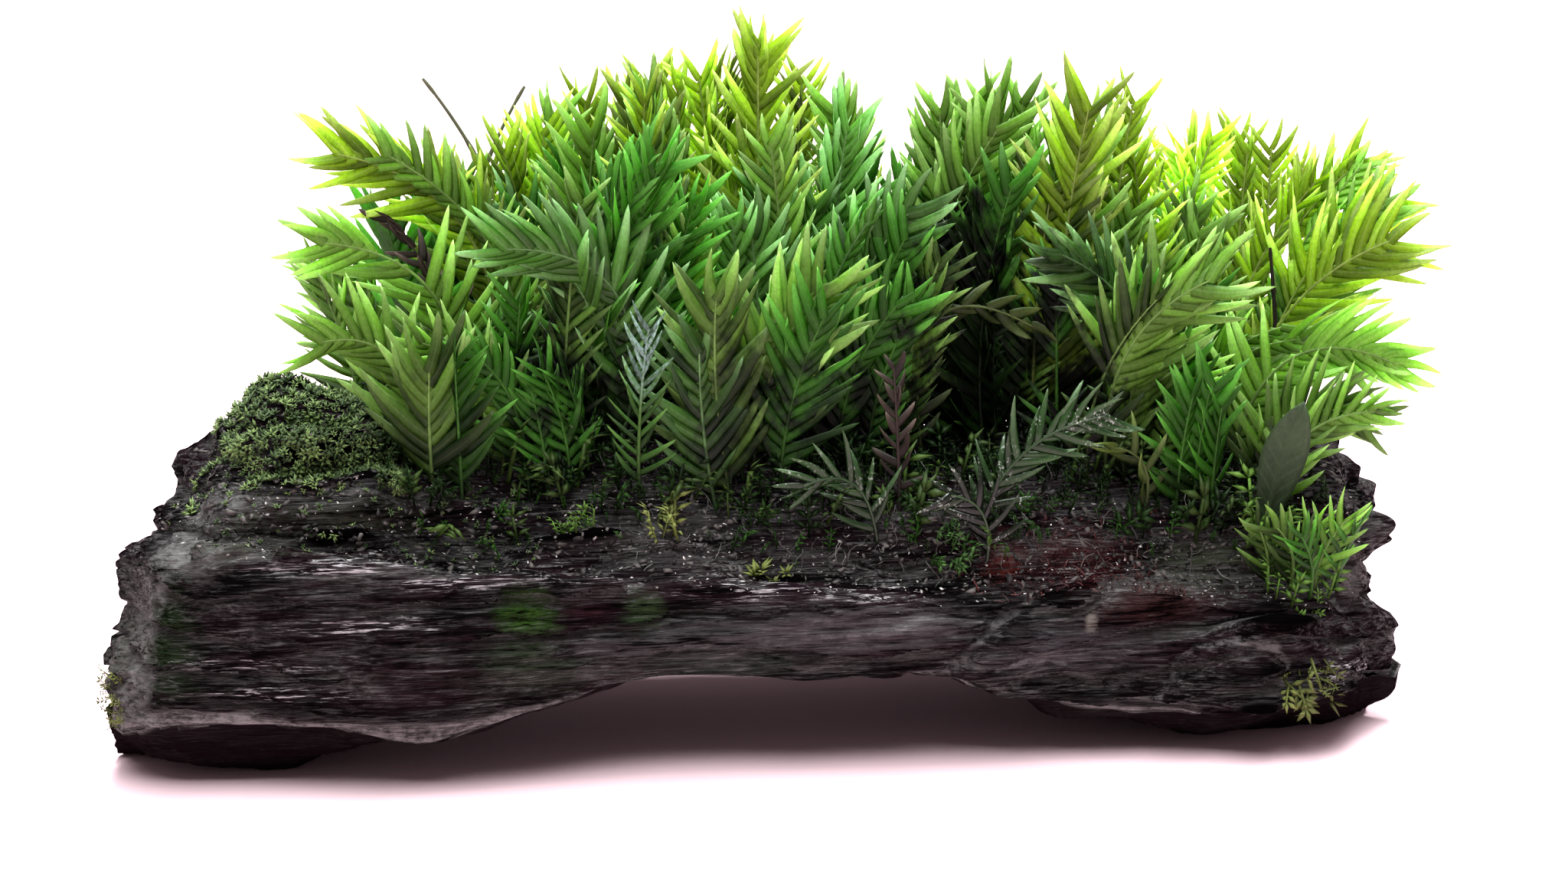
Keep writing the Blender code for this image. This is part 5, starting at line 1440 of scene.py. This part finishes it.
def cover_tree():
    """Tree that scatters tiny growths over a patch of wood, each turned and sized by chance."""
    sockets = [("Sprigs", "Collection"), *((name, "Float") for name in COVER_SETTINGS), ("Seed", "Int")]
    wires, given = new_growth_tree("ground_cover", sockets)
    seed = given["Seed"]
    spots = wires.add("GeometryNodeDistributePointsOnFaces", {
        "Mesh": given["Geometry"], "Distance Min": given["Closest"], "Density Max": given["Most"],
        "Seed": seed}, "Points", distribute_method="POISSON")
    kept = wires.tree.nodes.new("GeometryNodeCaptureAttribute")
    kept.capture_items.new("VECTOR", "Normal")
    wires.tree.links.new(spots.socket, kept.inputs["Geometry"])
    wires.tree.links.new(spots.twin("Normal").socket, kept.inputs["Normal"])
    spots, normal = (Wire(wires, kept.outputs[name]) for name in ("Geometry", "Normal"))

    upward = wires.add("ShaderNodeCombineXYZ", (0.0, -0.15, 1.0)).scaled(given["Upright"])
    sway = wires.add("ShaderNodeCombineXYZ", [wires.chance(-0.35, 0.35, seed, offset) for offset in (5, 6)])
    axis = normal.vector("ADD", upward).vector("ADD", sway)
    spin = wires.chance(0.0, 6.283, seed, 7)
    around = wires.add("ShaderNodeCombineXYZ", (spin.step("COSINE"), spin.step("SINE")))
    turn = wires.add("FunctionNodeAxesToRotation", (axis, around), primary_axis="Z", secondary_axis="X")
    share = wires.chance(0.0, 1.0, seed, 8).step("POWER", 1.6)
    size = wires.between(given["Smallest"], given["Largest"], share)
    spots = wires.stored(spots, "share", given["Light Share"])
    spots = wires.stored(spots, "shade", wires.chance(0.0, 1.0, seed, 9))
    shapes = wires.add("GeometryNodeCollectionInfo", (given["Sprigs"], True, True))
    pick = wires.chance(0.0, 2.99, seed, 10).step("FLOOR")
    sprigs = wires.add("GeometryNodeInstanceOnPoints", {
        0: spots, 2: shapes, 3: True, 4: pick, 5: turn, 6: size})
    return finish_growth(wires, (sprigs,), given["Material"])


def holds(where, spot, band):
    """Whether a round place, or a strip from and to along the log and across its bands, holds a spot."""
    first, second = where
    if len(first) == 3:
        return (spot - Vector(first)).length < second and spot.z > 0.3
    wander = noise.noise(spot / 2.4)
    return first[0] < spot.x + 2.4 * wander < first[1] and second[0] < band + 0.6 * wander < second[1]


def wood_patch(name, shape, where):
    """The faces of the wood in a strip or round place, as a mesh of its own."""
    points, faces, bands = shape
    used = {}
    picked = []
    for face in faces:
        middle = sum((points[i] for i in face), Vector()) / len(face)
        if holds(where, middle, bands[face[0]]):
            picked.append([used.setdefault(i, len(used)) for i in face])
    return plain_mesh(name, [points[i] for i in used], picked)


def grow_cover(shape, materials):
    """Undergrowth, velvet, red threads, crumbs and small tufts on the wood."""
    makers = {
        "sprigs": (sprig_pattern, (1, 2, 3), ()),
        "tufts": (tuft_pattern, (4, 5, 6), ()),
        "threads": (filament_pattern, (7, 8, 9), (0.09,)),
        "hairs": (filament_pattern, (11, 12, 13), (0.035,)),
        "crumbs": (crumb_pattern, (1, 2, 3), ()),
    }
    patterns = {}
    for name, (make, seeds, more) in makers.items():
        patterns[name] = pattern_collection(name, [make(seed, *more) for seed in seeds])
    tree = cover_tree()
    for i, (name, pattern, kind, *where, settings) in enumerate(STRIPS + SPOTS):
        values = {"Sprigs": patterns[pattern], "Seed": COVER_SEED + i, "Material": materials[kind]}
        values.update(zip(COVER_SETTINGS, settings))
        grown(name, wood_patch(name, shape, where), tree, values)
    for group in patterns.values():
        clear_patterns(group)
    bpy.data.node_groups.remove(tree)


def dress():
    """Everything of the piece."""
    wood, shape = dress_wood()
    materials = {kind: leaf_material(kind) for kind in LEAF_LOOKS}
    materials.update({name: speck_material(name, *look) for name, look in SPECK_LOOKS.items()})
    patterns = [leaf_pattern(*variant, hand) for hand in (-1.0, 1.0) for variant in LEAF_VARIANTS]
    leaves = pattern_collection("leaf_shapes", patterns)
    tree = frond_tree()
    for grow in (grow_fronds, grow_companions, grow_thickets, grow_crown):
        grow((wood, tree, leaves, materials))
    clear_patterns(leaves)
    bpy.data.node_groups.remove(tree)
    grow_stalks(wood, materials)
    broad_leaf(wood, materials["broad"])
    grow_cover(shape, materials)


def soft_light(name, power, width, depth, place, target):
    """A rectangular lamp that the camera doesn't see, aimed at a point. Sizes in metres."""
    data = bpy.data.lights.new(name, "AREA")
    data.shape = "RECTANGLE"
    data.size = width
    data.size_y = depth
    data.energy = power
    lamp = added(name, data)
    lamp.location = place
    lamp.rotation_euler = (Vector(target) - Vector(place)).to_track_quat("-Z", "Y").to_euler()
    lamp.visible_camera = False


def set_stage():
    """White floor, white surroundings and soft lamps above and behind."""
    half = 0.5 * FLOOR_SIZE
    corners = [(-half, -half, 0.0), (half, -half, 0.0), (half, half, 0.0), (-half, half, 0.0)]
    mesh = plain_mesh("white_floor", corners, [(0, 1, 2, 3)])
    material, wires, _ = new_material("white_floor")
    wires.add("ShaderNodeOutputMaterial", (wires.surface(FLOOR_TINT, 0.7, 0.2),))
    mesh.materials.append(material)
    floor = added("white_floor", mesh)
    world = bpy.data.worlds.new("white_room")
    world.use_nodes = True
    world.node_tree.nodes["Background"].inputs["Color"].default_value = (*ROOM_TINT, 1.0)
    world.node_tree.nodes["Background"].inputs["Strength"].default_value = ROOM_LIGHT
    bpy.context.scene.world = world
    for lamp in LAMPS:
        soft_light(*lamp)


def set_camera():
    """The photograph's view: a long lens from a little to the left and slightly above."""
    data = bpy.data.cameras.new("photo_view")
    data.lens = CAMERA_LENS
    data.sensor_width = CAMERA_SENSOR
    data.clip_start = MM
    camera = added("photo_view", data)
    rise = math.radians(CAMERA_RISE)
    back = facing_from_turn(0.0) * math.cos(rise) + Vector((0.0, 0.0, math.sin(rise)))
    camera.location = (Vector(CAMERA_TARGET) + back * CAMERA_DISTANCE) * MM
    camera.rotation_euler = back.to_track_quat("Z", "Y").to_euler()
    bpy.context.scene.camera = camera
    bpy.context.scene.view_settings.view_transform = "Standard"


dress()
set_stage()
set_camera()
